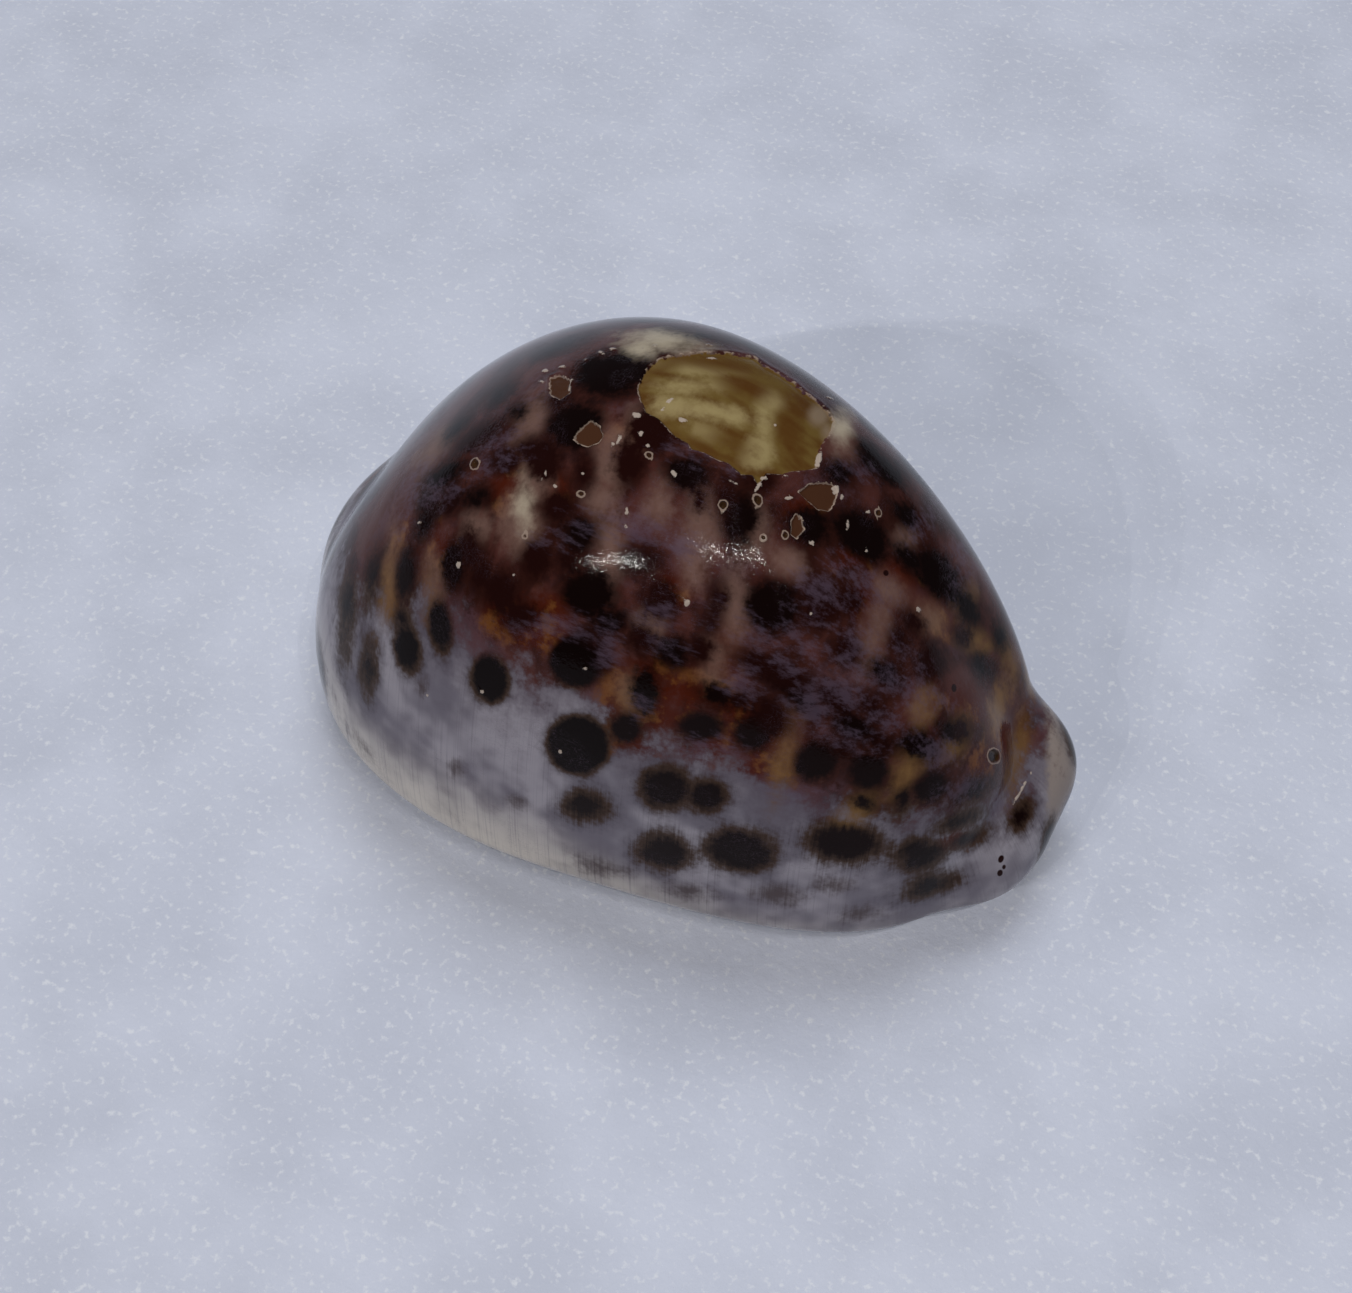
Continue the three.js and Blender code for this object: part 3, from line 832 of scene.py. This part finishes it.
# %% The side that the photograph doesn't show
UNSEEN_SEED = 7
GRAZING = 0.1
WIDENING = (0.9, 1.6)
rng = np.random.default_rng(UNSEEN_SEED)
skin = np.where(sweep[:, 2] < 1)[0]
skin_normals = slope_of(points[skin])
hidden = (skin_normals * unit(eye - points[skin])).sum(axis=-1) < GRAZING
print(hidden.sum(), "vertices of the skin face away from the camera")


def unseen_marks(count, sizes, heights, gap):
    """Marks strewn over the skin that the camera doesn't see, with their sizes, heights and the
    least gap between them in mm."""
    heights_here = points[skin, 2]
    allowed = np.where(hidden & (heights_here > heights[0]) & (heights_here < heights[1]))[0]
    marks = []
    for pick_number in rng.permutation(allowed):
        place = points[skin[pick_number]]
        if any(np.linalg.norm(place - other[0]) < gap for other in marks):
            continue
        normal = skin_normals[pick_number]
        size = rng.uniform(*sizes)
        sideways = unit(np.cross(normal, (1, 0, 0)))
        forward = np.cross(normal, sideways)
        matrix = np.stack([
            forward / size,
            sideways / (size * rng.uniform(*WIDENING)),
            normal / MARK_DEPTH,
        ])
        marks.append((place, matrix, size))
        if len(marks) == count:
            break
    return marks


unseen_black = unseen_marks(46, (1.6, 2.9), (16, 46), 4.6)
unseen_red = unseen_marks(30, (1.2, 2.2), (18, 46), 4.2)
unseen_spots = unseen_marks(30, (1.1, 2.2), (5, 17), 5.0)
unseen_windows = unseen_marks(24, (1.0, 2.0), (16, 44), 5.5)
unseen_amber = unseen_marks(24, (1.4, 2.4), (14, 44), 5.0)
unseen_veils = unseen_marks(12, (2.2, 4.0), (14, 46), 8.0)
print("marks strewn over the unseen side")

# %% Where the dark cover ends
BEAK_LINE = 33.1
REAR_COVER = 34.0
COVER_FADE = 1.2
COVER_EDGE = [
    (345, 560), (372, 596), (430, 602), (470, 640), (540, 682), (606, 690), (622, 742),
    (700, 752), (760, 780), (830, 802), (900, 812), (960, 805), (1010, 782),
]
FAR_COVER = [(0.35, 12.0), (1.0, 15.5), (1.6, 17.0), (2.2, 15.5), (2.8, 13.0)]


def azimuth_of(p):
    return np.arctan2(p[:, 1] - CENTRE[1], p[:, 0] - CENTRE[0])


edge_places = photo_places(COVER_EDGE)
edge_azimuths = np.append(azimuth_of(edge_places), [angle for angle, _ in FAR_COVER])
edge_heights = np.append(edge_places[:, 2], [height for _, height in FAR_COVER])
cover_height = np.interp(azimuth_of(points), edge_azimuths, edge_heights, period=2 * math.pi)
beak = points @ level_right - BEAK_LINE
end_distance = np.minimum(-beak, REAR_COVER + points[:, 0])
cover = np.minimum(points[:, 2] - cover_height, end_distance) / COVER_FADE
print("the cover ends", edge_heights.min().round(1), "to", edge_heights.max().round(1), "mm up")

# %% Gather the masks
CRISP = 0.36
SOFT = 0.55
FRINGED = 0.6
DEEP = 0.75
HAZY = 0.9
TINY_EDGE = 0.06
DOT_EDGE = 0.1
FLAKE_REACH = 1.5
WEIGHT_SHARPNESS = 2
HIGHEST_WEIGHT = 3

# Marks, softness, how red-brown they are and how far hairlines fray their edges
dark_groups = [
    (photo_marks(CRISP_SPOTS), CRISP, 0.15, 0.1),
    (photo_marks(SOFT_SPOTS), SOFT, 0.3, 0.5),
    (photo_marks(FRINGED_SPOTS), FRINGED, 0.35, 1.1),
    (photo_marks(BLACK_BLOTCHES), DEEP, 0.2, 0.5),
    (photo_marks(RED_BLOTCHES), DEEP, 0.9, 0.5),
    (unseen_black, DEEP, 0.2, 0.5),
    (unseen_red, DEEP, 0.9, 0.5),
    (unseen_spots, SOFT, 0.3, 0.8),
]
dark = np.full(len(points), LOWEST_MASK)
warmth_sum = np.zeros(len(points))
fray_sum = np.zeros(len(points))
weight_sum = np.full(len(points), TINY)
for marks, softness, warmth, fray in dark_groups:
    found = spread(points, marks, softness)
    weight = np.exp(WEIGHT_SHARPNESS * np.clip(found, LOWEST_MASK, HIGHEST_WEIGHT))
    warmth_sum += weight * warmth
    fray_sum += weight * fray
    weight_sum += weight
    dark = np.maximum(dark, found)

flake = flake_distance(points)
masks = {
    "cover": cover,
    "beak": beak,
    "dark": np.minimum(dark, -LOWEST_MASK),
    "warmth": warmth_sum / weight_sum,
    "fray": fray_sum / weight_sum,
    "flake": flake,
    "small_flake": smooth_step(flake_distance(points, PLACED_FLAKES[1:]) + FLAKE_REACH),
}
for name, readings, unseen, softness in (
    ("smudge", SMUDGES, [], SOFT),
    ("tan", TAN_WINDOWS, unseen_windows, DEEP),
    ("cream", CREAM_WINDOWS, [], DEEP),
    ("amber", AMBER_GLOWS, unseen_amber, HAZY),
    ("veil_and_sheen", VIOLET_VEILS_AND_SHEEN, unseen_veils, SOFT),
    ("painted_highlight", PATCH_PAINTED_HIGHLIGHTS, [], SOFT),
    ("brown", BROWN_ZONES, [], SOFT),
    ("grey", GREY_ZONES, [], SOFT),
    ("fleck", FLECKS, [], TINY_EDGE),
    ("pit", RINGED_PITS, [], TINY_EDGE),
    ("dot", DARK_DOTS, [], DOT_EDGE),
):
    masks[name] = spread(points, photo_marks(readings) + unseen, softness)
print("masks:", ", ".join(masks))

# %% Sink the flakes, raise the crumbs and dent the pits
FLAKE_DEPTH = 0.2
FLAKE_SLOPE = 0.22
FLECK_RISE = 0.07
PIT_DEPTH = 0.25
PIT_EDGE = 0.12
PIT_SLOPE = 0.15
RIM_RISE = 0.03


def rim(distance, place, width):
    """A low ridge at one distance from an edge."""
    return RIM_RISE * np.exp(-(((distance - place) / width) ** 2))


into_pit = spread(points, photo_marks(RINGED_PITS), 1.0)
relief = rim(flake, -0.22, 0.16) + rim(into_pit, 0.05, 0.09)
relief -= FLAKE_DEPTH * smooth_step(flake / FLAKE_SLOPE + 0.5)
relief += FLECK_RISE * smooth_step(masks["fleck"] / 2 + 0.5)
relief -= PIT_DEPTH * smooth_step((into_pit - PIT_EDGE) / PIT_SLOPE)
relief[sweep[:, 2] >= 1] = 0
points = points + slope_of(points) * relief[:, None]
print("relief from", relief.min().round(2), "to", relief.max().round(2), "mm")

# %% Make the mesh
MASK_LIMIT = 6
mesh = bpy.data.meshes.new("cowrie")
mesh.from_pydata((points * MM).tolist(), [], triangles.tolist())
for name, values in masks.items():
    attribute = mesh.attributes.new(name, "FLOAT", "POINT")
    attribute.data.foreach_set("value", np.clip(values, -MASK_LIMIT, MASK_LIMIT).astype(np.float32))
attribute = mesh.attributes.new("sweep", "FLOAT_VECTOR", "POINT")
attribute.data.foreach_set("vector", sweep.astype(np.float32).ravel())
mesh.shade_smooth()
mesh.update()
cowrie = add_object("cowrie", mesh)
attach(cowrie, "root")
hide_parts("shell")
print("the shell has", len(mesh.vertices), "vertices and", len(mesh.polygons), "faces")

# %% [markdown]
# ## Small helpers for the materials
# Each helper adds one node to the tree that is being built and gives back its output, so a
# material reads from top to bottom as a list of layers.

# %% Node helpers


def srgb(red, green, blue):
    """A colour as seen in the photograph, made linear."""
    seen = np.array([red, green, blue])
    linear = np.where(seen < 0.04045, seen / 12.92, ((seen + 0.055) / 1.055) ** 2.4)
    return (*linear.tolist(), 1.0)


def feed(source, socket):
    if isinstance(source, bpy.types.NodeSocket):
        tree.links.new(source, socket)
    else:
        socket.default_value = source


def add_node(kind, **inputs):
    """A node of the tree with values or links on the inputs that are named."""
    node = tree.nodes.new("ShaderNode" + kind)
    for name, source in inputs.items():
        feed(source, node.inputs[name.replace("_", " ")])
    return node


def arithmetic(operation, *sources):
    node = add_node("Math")
    node.operation = operation
    for source, socket in zip(sources, node.inputs):
        feed(source, socket)
    return node.outputs[0]


def add_share(share, extra, value):
    """A share of something extra, added to a value."""
    return arithmetic("MULTIPLY_ADD", extra, share, value)


def fade(value, start, stop, lowest=0.0, highest=1.0):
    """lowest below start, highest above stop, and smooth between."""
    node = add_node(
        "MapRange", Value=value, From_Min=start, From_Max=stop, To_Min=lowest, To_Max=highest
    )
    node.interpolation_type = "SMOOTHSTEP"
    return node.outputs["Result"]


def layer(mask, under, over):
    """One colour over another, as strong as the mask."""
    node = add_node("Mix")
    node.data_type = "RGBA"
    for source, number in ((mask, 0), (under, 6), (over, 7)):
        feed(source, node.inputs[number])
    return node.outputs[2]


def stretch(vector, *factors):
    node = add_node("VectorMath")
    node.operation = "MULTIPLY"
    feed(vector, node.inputs[0])
    node.inputs[1].default_value = factors
    return node.outputs[0]


def grain(vector, scale=1.0, detail=3.0, roughness=0.55, distortion=0.0):
    """Noise around a half, at scale waves for each unit of the vector."""
    node = add_node(
        "TexNoise", Vector=vector, Scale=scale, Detail=detail, Roughness=roughness,
        Distortion=distortion,
    )
    return node.outputs[0]


def attribute_of(name, output="Fac"):
    node = add_node("Attribute")
    node.attribute_name = name
    return node.outputs[output]


def place_in_mm():
    return stretch(add_node("TexCoord").outputs["Object"], 1 / MM, 1 / MM, 1 / MM)


def bumps(height, strength, distance):
    """Give the shader a fine relief of a strength and a distance in mm."""
    node = add_node("Bump", Strength=strength, Distance=distance * MM, Height=height)
    feed(node.outputs[0], shader.inputs["Normal"])


def new_material(name):
    material = bpy.data.materials.new(name)
    material.use_nodes = True
    return material, material.node_tree, material.node_tree.nodes["Principled BSDF"]


print("helpers ready")

# %% [markdown]
# ## Shared effects
# Three node groups serve the whole shell: hairlines that run down the sides like the streaks a
# brush leaves, the fine scratches that sand and handling have cut, and blotchy mottling.

# %% Node groups
SCRATCH_WIDTH = 0.012


def new_group(name, entrance, *outputs):
    """A node group with one vector going in and numbers coming out."""
    group = bpy.data.node_groups.new(name, "ShaderNodeTree")
    group.interface.new_socket(entrance, in_out="INPUT", socket_type="NodeSocketVector")
    for label in outputs:
        group.interface.new_socket(label, in_out="OUTPUT", socket_type="NodeSocketFloat")
    entry = group.nodes.new("NodeGroupInput").outputs[0]
    return group, group, entry, group.nodes.new("NodeGroupOutput").inputs


def use_group(group, source):
    node = add_node("Group")
    node.node_tree = group
    feed(source, node.inputs[0])
    return node.outputs


hairlines, tree, entry, leave = new_group("hairlines", "Sweep", "Lines")
coarse_lines = grain(stretch(entry, 95, 95, 2.5), detail=2.0)
fine_lines = grain(stretch(entry, 240, 240, 6), detail=1.0)
feed(arithmetic("SUBTRACT", arithmetic("ADD", coarse_lines, fine_lines), 1.0), leave[0])

scratches, tree, entry, leave = new_group("scratches", "Place", "Scratches")
cuts = []
for turned, scale in (((1.0, 6.0, 6.0), 0.55), ((7.0, 1.2, 5.0), 0.5)):
    wave = grain(stretch(entry, *turned), scale, 1.5, 0.5, 0.4)
    offset = arithmetic("ABSOLUTE", arithmetic("SUBTRACT", wave, 0.5))
    cuts.append(fade(offset, 0.0, SCRATCH_WIDTH, 1.0, 0.0))
where = fade(grain(entry, 0.16, 2.0), 0.5, 0.62)
feed(arithmetic("MULTIPLY", arithmetic("MAXIMUM", *cuts), where), leave[0])

mottle, tree, entry, leave = new_group("mottle", "Place", "Broad", "Middling", "Fine")
for socket, scale, detail in zip(leave, (0.09, 0.35, 1.6), (3.0, 4.0, 4.0)):
    feed(fade(grain(entry, scale, detail, 0.6), 0.3, 0.7, -1.0, 1.0), socket)
print("groups: hairlines, scratches, mottle")

# %% [markdown]
# ## The shell's glaze
# From the bottom up: the pale margin, the dark cover of the back, its windows and its amber
# glow, the blotches and spots, the violet bloom of worn glaze, which along the two rows of
# glints also stands in for their broad sheen as painted sheen, and last the flaked patch,
# where the outer layers are gone and an olive-yellow one with streaks along it shows.

# %% Colours
PALE = srgb(0.62, 0.60, 0.63)
PALE_SHADE = srgb(0.44, 0.42, 0.46)
CALLUS = srgb(0.82, 0.79, 0.75)
INNER_WALL = srgb(0.70, 0.66, 0.72)
MARGIN_HAZE = srgb(0.35, 0.31, 0.35)
SMUDGE = srgb(0.29, 0.24, 0.24)
BEAK_CREAM = srgb(0.60, 0.55, 0.52)
DEEP_BROWN = srgb(0.18, 0.08, 0.06)
COVER_BROWN = srgb(0.31, 0.17, 0.15)
COVER_TAN = srgb(0.35, 0.23, 0.22)
COVER_VIOLET = srgb(0.36, 0.26, 0.29)
WINDOW_OCHRE = srgb(0.51, 0.38, 0.22)
WINDOW_PINK = srgb(0.48, 0.37, 0.33)
CREAM = srgb(0.76, 0.71, 0.62)
AMBER = srgb(0.29, 0.10, 0.04)
OCHRE = srgb(0.46, 0.28, 0.13)
BLACK = srgb(0.03, 0.015, 0.012)
RED_BROWN = srgb(0.13, 0.04, 0.03)
HALO = srgb(0.24, 0.16, 0.09)
RING_GREY = srgb(0.27, 0.24, 0.27)
VEIL_AND_SHEEN = srgb(0.37, 0.31, 0.37)
OLIVE = srgb(0.43, 0.34, 0.17)
OLIVE_PAINTED_HIGHLIGHT = srgb(0.66, 0.59, 0.41)
OLIVE_BROWN = srgb(0.34, 0.21, 0.08)
OLIVE_GREY = srgb(0.54, 0.46, 0.37)
SMALL_FLAKE = srgb(0.29, 0.18, 0.12)
CRUMB = srgb(0.66, 0.58, 0.52)
FLECK = srgb(0.74, 0.68, 0.63)
print("palette ready")

# %% The noises that break up every edge
glaze, tree, shader = new_material("cowrie_glaze")
place = place_in_mm()
sweep_place = attribute_of("sweep", "Vector")
worn_lines = use_group(scratches, place)[0]
broad, middling, fine = use_group(mottle, place)
down_place = add_node("SeparateXYZ", Vector=sweep_place).outputs["Z"]
off_crest = fade(down_place, 0.12, 0.5)
lines = arithmetic("MULTIPLY", use_group(hairlines, sweep_place)[0], off_crest)
along, _, height = add_node("SeparateXYZ", Vector=place).outputs


def broken(mask, *shares):
    """A mask's depth, its edge broken by shares of the hairlines and of both finer mottles."""
    for share, noise in zip(shares, (lines, middling, fine)):
        mask = add_share(share, noise, mask)
    return mask


def mark_mask(name, shares, start, stop, strength=1.0):
    """How strongly one kind of mark covers what lies under it."""
    return fade(broken(attribute_of(name), *shares), start, stop, 0.0, strength)


print("noises ready")

# %% The pale margin
# Cream towards the base at the rear, violet-grey in front, and the pale beak
uneven_height = add_share(1.6, broad, height)
uneven_height = arithmetic("ADD", uneven_height, fade(along, -12.0, 24.0, 0.0, 8.0))
colour = layer(fade(broad, -0.6, 0.8), PALE, PALE_SHADE)
colour = layer(fade(uneven_height, 4.0, 17.0, 1.0, 0.0), colour, CALLUS)
colour = layer(fade(lines, 0.0, 0.4, 0.0, 0.4), colour, PALE_SHADE)
colour = layer(mark_mask("cover", (0.6, 1.4, 0.4), -6.5, 0.5, 0.85), colour, MARGIN_HAZE)
beak_edge = add_share(0.2, fine, attribute_of("beak"))
colour = layer(fade(beak_edge, -0.3, 0.8, 0.0, 0.95), colour, BEAK_CREAM)

# A dim ring round each spot of the margin
frayed = arithmetic("MULTIPLY", lines, attribute_of("fray"))
dark_depth = arithmetic("ADD", broken(attribute_of("dark"), 0.0, 0.35, 0.3), frayed)
colour = layer(fade(dark_depth, -3.2, -0.8, 0.0, 0.5), colour, RING_GREY)
colour = layer(fade(dark_depth, -1.8, -0.4, 0.0, 0.9), colour, HALO)
colour = layer(mark_mask("smudge", (1.1, 0.4, 0.3), -0.9, 1.6, 0.85), colour, SMUDGE)
print("the margin's layers are ready")

# %% The dark cover of the back
# Columns of brown and tan run down the sides
cover_mask = mark_mask("cover", (0.6, 1.3, 0.6), -1.4, 1.6)
columns = grain(stretch(place, 0.26, 0.12, 0.12), distortion=0.5)
cover_colour = layer(fade(columns, 0.36, 0.56), DEEP_BROWN, COVER_BROWN)
cover_colour = layer(fade(columns, 0.52, 0.72, 0.0, 0.9), cover_colour, COVER_TAN)
violet_mask = fade(broken(broad, 0.4, 0.6, 0.6), -0.2, 1.4, 0.0, 0.6)
cover_colour = layer(violet_mask, cover_colour, COVER_VIOLET)
colour = layer(cover_mask, colour, cover_colour)
around_mask = arithmetic("MULTIPLY", fade(dark_depth, -1.8, -0.2, 0.0, 0.8), cover_mask)
colour = layer(around_mask, colour, DEEP_BROWN)

# Amber glow and pale windows, ochre low on the sides and pinkish high on the back
amber_colour = layer(fade(middling, 0.1, 1.1), AMBER, OCHRE)
colour = layer(mark_mask("amber", (0.5, 0.7, 0.4), -1.2, 0.9, 0.9), colour, amber_colour)
window_colour = layer(fade(height, 24.0, 35.0), WINDOW_OCHRE, WINDOW_PINK)
colour = layer(mark_mask("tan", (0.3, 0.6, 0.2), -1.7, 1.5, 0.85), colour, window_colour)
colour = layer(mark_mask("cream", (0.2, 0.5, 0.1), -1.4, 1.2, 0.85), colour, CREAM)

# Blotches and spots
dark_colour = layer(attribute_of("warmth"), BLACK, RED_BROWN)
colour = layer(fade(dark_depth, -0.9, 0.8), colour, dark_colour)

# The violet bloom of worn glaze, rubbed off in streaks. Along the two rows of glints the
# veils also stand in for the broad sheen there: painted sheen.
rubbed = fade(grain(stretch(place, 0.5, 1.6, 1.6), 1.0, 5.0, 0.7), 0.3, 0.7, -1.6, 1.6)
veil_and_sheen_depth = arithmetic("ADD", broken(attribute_of("veil_and_sheen"), 0.5, 0.5, 0.3), rubbed)
veil_and_sheen_mask = fade(veil_and_sheen_depth, -1.2, 2.4, 0.0, 0.5)
colour = layer(veil_and_sheen_mask, colour, VEIL_AND_SHEEN)
colour = layer(arithmetic("MULTIPLY", worn_lines, 0.3), colour, VEIL_AND_SHEEN)
print("the cover's layers are ready")

# %% The flaked patch and the small damage in the glaze
streaks = grain(stretch(place, 0.11, 0.6, 0.6), 1.0, 2.5, 0.5)
ragged = add_share(0.09, fine, attribute_of("flake"))
small_flake = attribute_of("small_flake")
patch_colour = layer(fade(streaks, 0.4, 0.66, 0.0, 0.8), OLIVE, OLIVE_BROWN)
# Painted highlights on the olive layer, then its real brown zones
for name, strength, over in (("painted_highlight", 0.85, OLIVE_PAINTED_HIGHLIGHT), ("brown", 0.8, OLIVE_BROWN)):
    zone_mask = mark_mask(name, (0.0, 0.6, 0.3), -1.6, 1.6, strength)
    patch_colour = layer(zone_mask, patch_colour, over)
patch_colour = layer(mark_mask("grey", (), -1.0, 1.0), patch_colour, OLIVE_GREY)
patch_colour = layer(small_flake, patch_colour, SMALL_FLAKE)
colour = layer(fade(ragged, -0.03, 0.05), colour, patch_colour)

# Pale crumbs along the broken edge, flecks, pits and dots
edge_line = fade(arithmetic("ABSOLUTE", arithmetic("ADD", ragged, 0.02)), 0.02, 0.09, 1.0, 0.0)
crumb_noise = add_share(0.5, small_flake, fade(grain(place, 1.6), 0.46, 0.62, 0.0, 0.75))
crumb_mask = arithmetic("MULTIPLY", edge_line, crumb_noise)
colour = layer(crumb_mask, colour, CRUMB)
fleck_depth = add_share(1.6, fine, attribute_of("fleck"))
colour = layer(fade(fleck_depth, -0.4, 1.0, 0.0, 0.85), colour, FLECK)
pit_depth = add_share(0.9, fine, attribute_of("pit"))
colour = layer(fade(arithmetic("ABSOLUTE", pit_depth), 0.5, 1.5, 0.7, 0.0), colour, CRUMB)
colour = layer(fade(pit_depth, 1.6, 2.6), colour, HALO)
colour = layer(mark_mask("dot", (), -0.5, 0.5), colour, RED_BROWN)

# The lips, the teeth and the wall of the hollow
colour = layer(fade(down_place, 0.97, 1.02), colour, CALLUS)
colour = layer(fade(down_place, 1.25, 1.5), colour, INNER_WALL)
feed(colour, shader.inputs["Base Color"])
print("colour layers ready")

# %% The gloss and the fine relief
# Scratched and worn places are duller
worn_mask = arithmetic("MAXIMUM", arithmetic("MULTIPLY", veil_and_sheen_mask, 0.7), worn_lines)
roughness = add_share(0.02, fine, fade(worn_mask, 0.0, 1.0, 0.06, 0.16))
feed(roughness, shader.inputs["Roughness"])
shader.inputs["IOR"].default_value = 1.18

pinholes = fade(grain(place, 3.0, 1.0), 0.3, 0.7)
dents = arithmetic("MULTIPLY", lines, 0.12)
for share, noise in ((0.1, fine), (0.3, pinholes), (-0.6, worn_lines), (0.8, crumb_mask)):
    dents = add_share(share, noise, dents)
bumps(dents, 0.25, 0.05)
mesh.materials.append(glaze)
print(len(tree.nodes), "nodes in the glaze")

# %% [markdown]
# ## The sheet and the light
# The shell lies on a plain pale sheet. Soft light comes from one large lamp above and behind it,
# and two rows of small lamps leave the two broken glints on the back. Each lamp is set where a
# mirror on the shell at that spark would show it.

# %% The pale sheet
FLOOR_HALF = 3.0
FLOOR_DROP = 0.02 * MM
SHEET_DIM = srgb(0.82, 0.84, 0.90)
SHEET_PALE = srgb(0.87, 0.89, 0.95)
SHEET_GLINT = srgb(0.97, 0.98, 1.0)
floor_mesh = bpy.data.meshes.new("sheet")
corner_signs = ((-1, -1), (1, -1), (1, 1), (-1, 1))
floor_mesh.from_pydata(
    [(x * FLOOR_HALF, y * FLOOR_HALF, -FLOOR_DROP) for x, y in corner_signs], [], [(0, 1, 2, 3)]
)
floor = add_object("sheet", floor_mesh)
sheet_material, tree, shader = new_material("pale_sheet")
place = place_in_mm()
sheet_colour = layer(fade(grain(place, 0.05), 0.3, 0.7), SHEET_DIM, SHEET_PALE)
# Bright specks stand in for the sparkle of the sheet's grain: painted glints
sheet_colour = layer(fade(grain(place, 1.3), 0.54, 0.72, 0.0, 0.6), sheet_colour, SHEET_GLINT)
feed(sheet_colour, shader.inputs["Base Color"])
shader.inputs["Roughness"].default_value = 0.4
bumps(grain(place, 0.55, 5.0, 0.65), 0.5, 0.35)
floor_mesh.materials.append(sheet_material)
print("the sheet is", 2 * FLOOR_HALF, "m across")

# %% The lamps
SPARKS = [
    (586, 560, 0.6), (598, 562, 0.8), (612, 559, 1.3), (622, 561, 0.9), (636, 561, 1.5),
    (704, 552, 1.0), (714, 549, 1.6), (722, 553, 0.8), (735, 551, 1.2), (748, 555, 0.9),
    (758, 556, 1.3),
]
LAMP_DISTANCE = 2.2
LAMP_SIZE = 0.012
LAMP_POWER = 1.9
LAMP_COLOUR = (1.0, 0.97, 0.93)
CEILING_PLACE = (-0.3, 0.95, 2.3)
CEILING_SIZE = (1.5, 1.1)
CEILING_POWER = 24.5
CEILING_COLOUR = (0.93, 0.96, 1.0)
ROOM_COLOUR = (0.78, 0.84, 1.0, 1.0)
ROOM_STRENGTH = 0.1


def area_lamp(name, size, power, colour, position, target, along):
    """A lamp at position that faces target, with its long side along a direction."""
    data = bpy.data.lights.new(name, "AREA")
    data.shape = "RECTANGLE"
    data.size, data.size_y = size
    data.energy = power
    data.color = colour
    lamp = add_object(name, data)
    back = unit(position - target)
    wide = unit(along - (along @ back) * back)
    turned = Matrix([wide, np.cross(back, wide), back]).transposed()
    lamp.matrix_world = Matrix.Translation(Vector(position)) @ turned.to_4x4()
    return lamp


spark_places = photo_places([spark[:2] for spark in SPARKS])
spark_normals = slope_of(spark_places)
to_eye = unit(eye - spark_places)
facing = (to_eye * spark_normals).sum(axis=-1, keepdims=True)
spark_places = spark_places * MM
lamp_places = spark_places + (2 * facing * spark_normals - to_eye) * LAMP_DISTANCE
row = lamp_places[-1] - lamp_places[0]
for number, (spark, position, target) in enumerate(zip(SPARKS, lamp_places, spark_places)):
    power = LAMP_POWER * spark[2]
    area_lamp(f"lamp_{number}", (LAMP_SIZE, LAMP_SIZE), power, LAMP_COLOUR, position, target, row)
print(len(SPARKS), "small lamps in two rows,", round(float(np.linalg.norm(row)), 2), "m long")

ceiling = area_lamp(
    "ceiling", CEILING_SIZE, CEILING_POWER, CEILING_COLOUR,
    np.array(CEILING_PLACE), np.zeros(3), np.array([1.0, 0, 0]),
)
ceiling.visible_glossy = False

world = bpy.data.worlds.new("room")
world.use_nodes = True
background = world.node_tree.nodes["Background"]
background.inputs["Color"].default_value = ROOM_COLOUR
background.inputs["Strength"].default_value = ROOM_STRENGTH
bpy.context.scene.world = world
bpy.context.scene.view_settings.view_transform = "Standard"

# %% [markdown]
# ## Finish
# The view layer is brought up to date.

# %% Finish
bpy.context.view_layer.update()
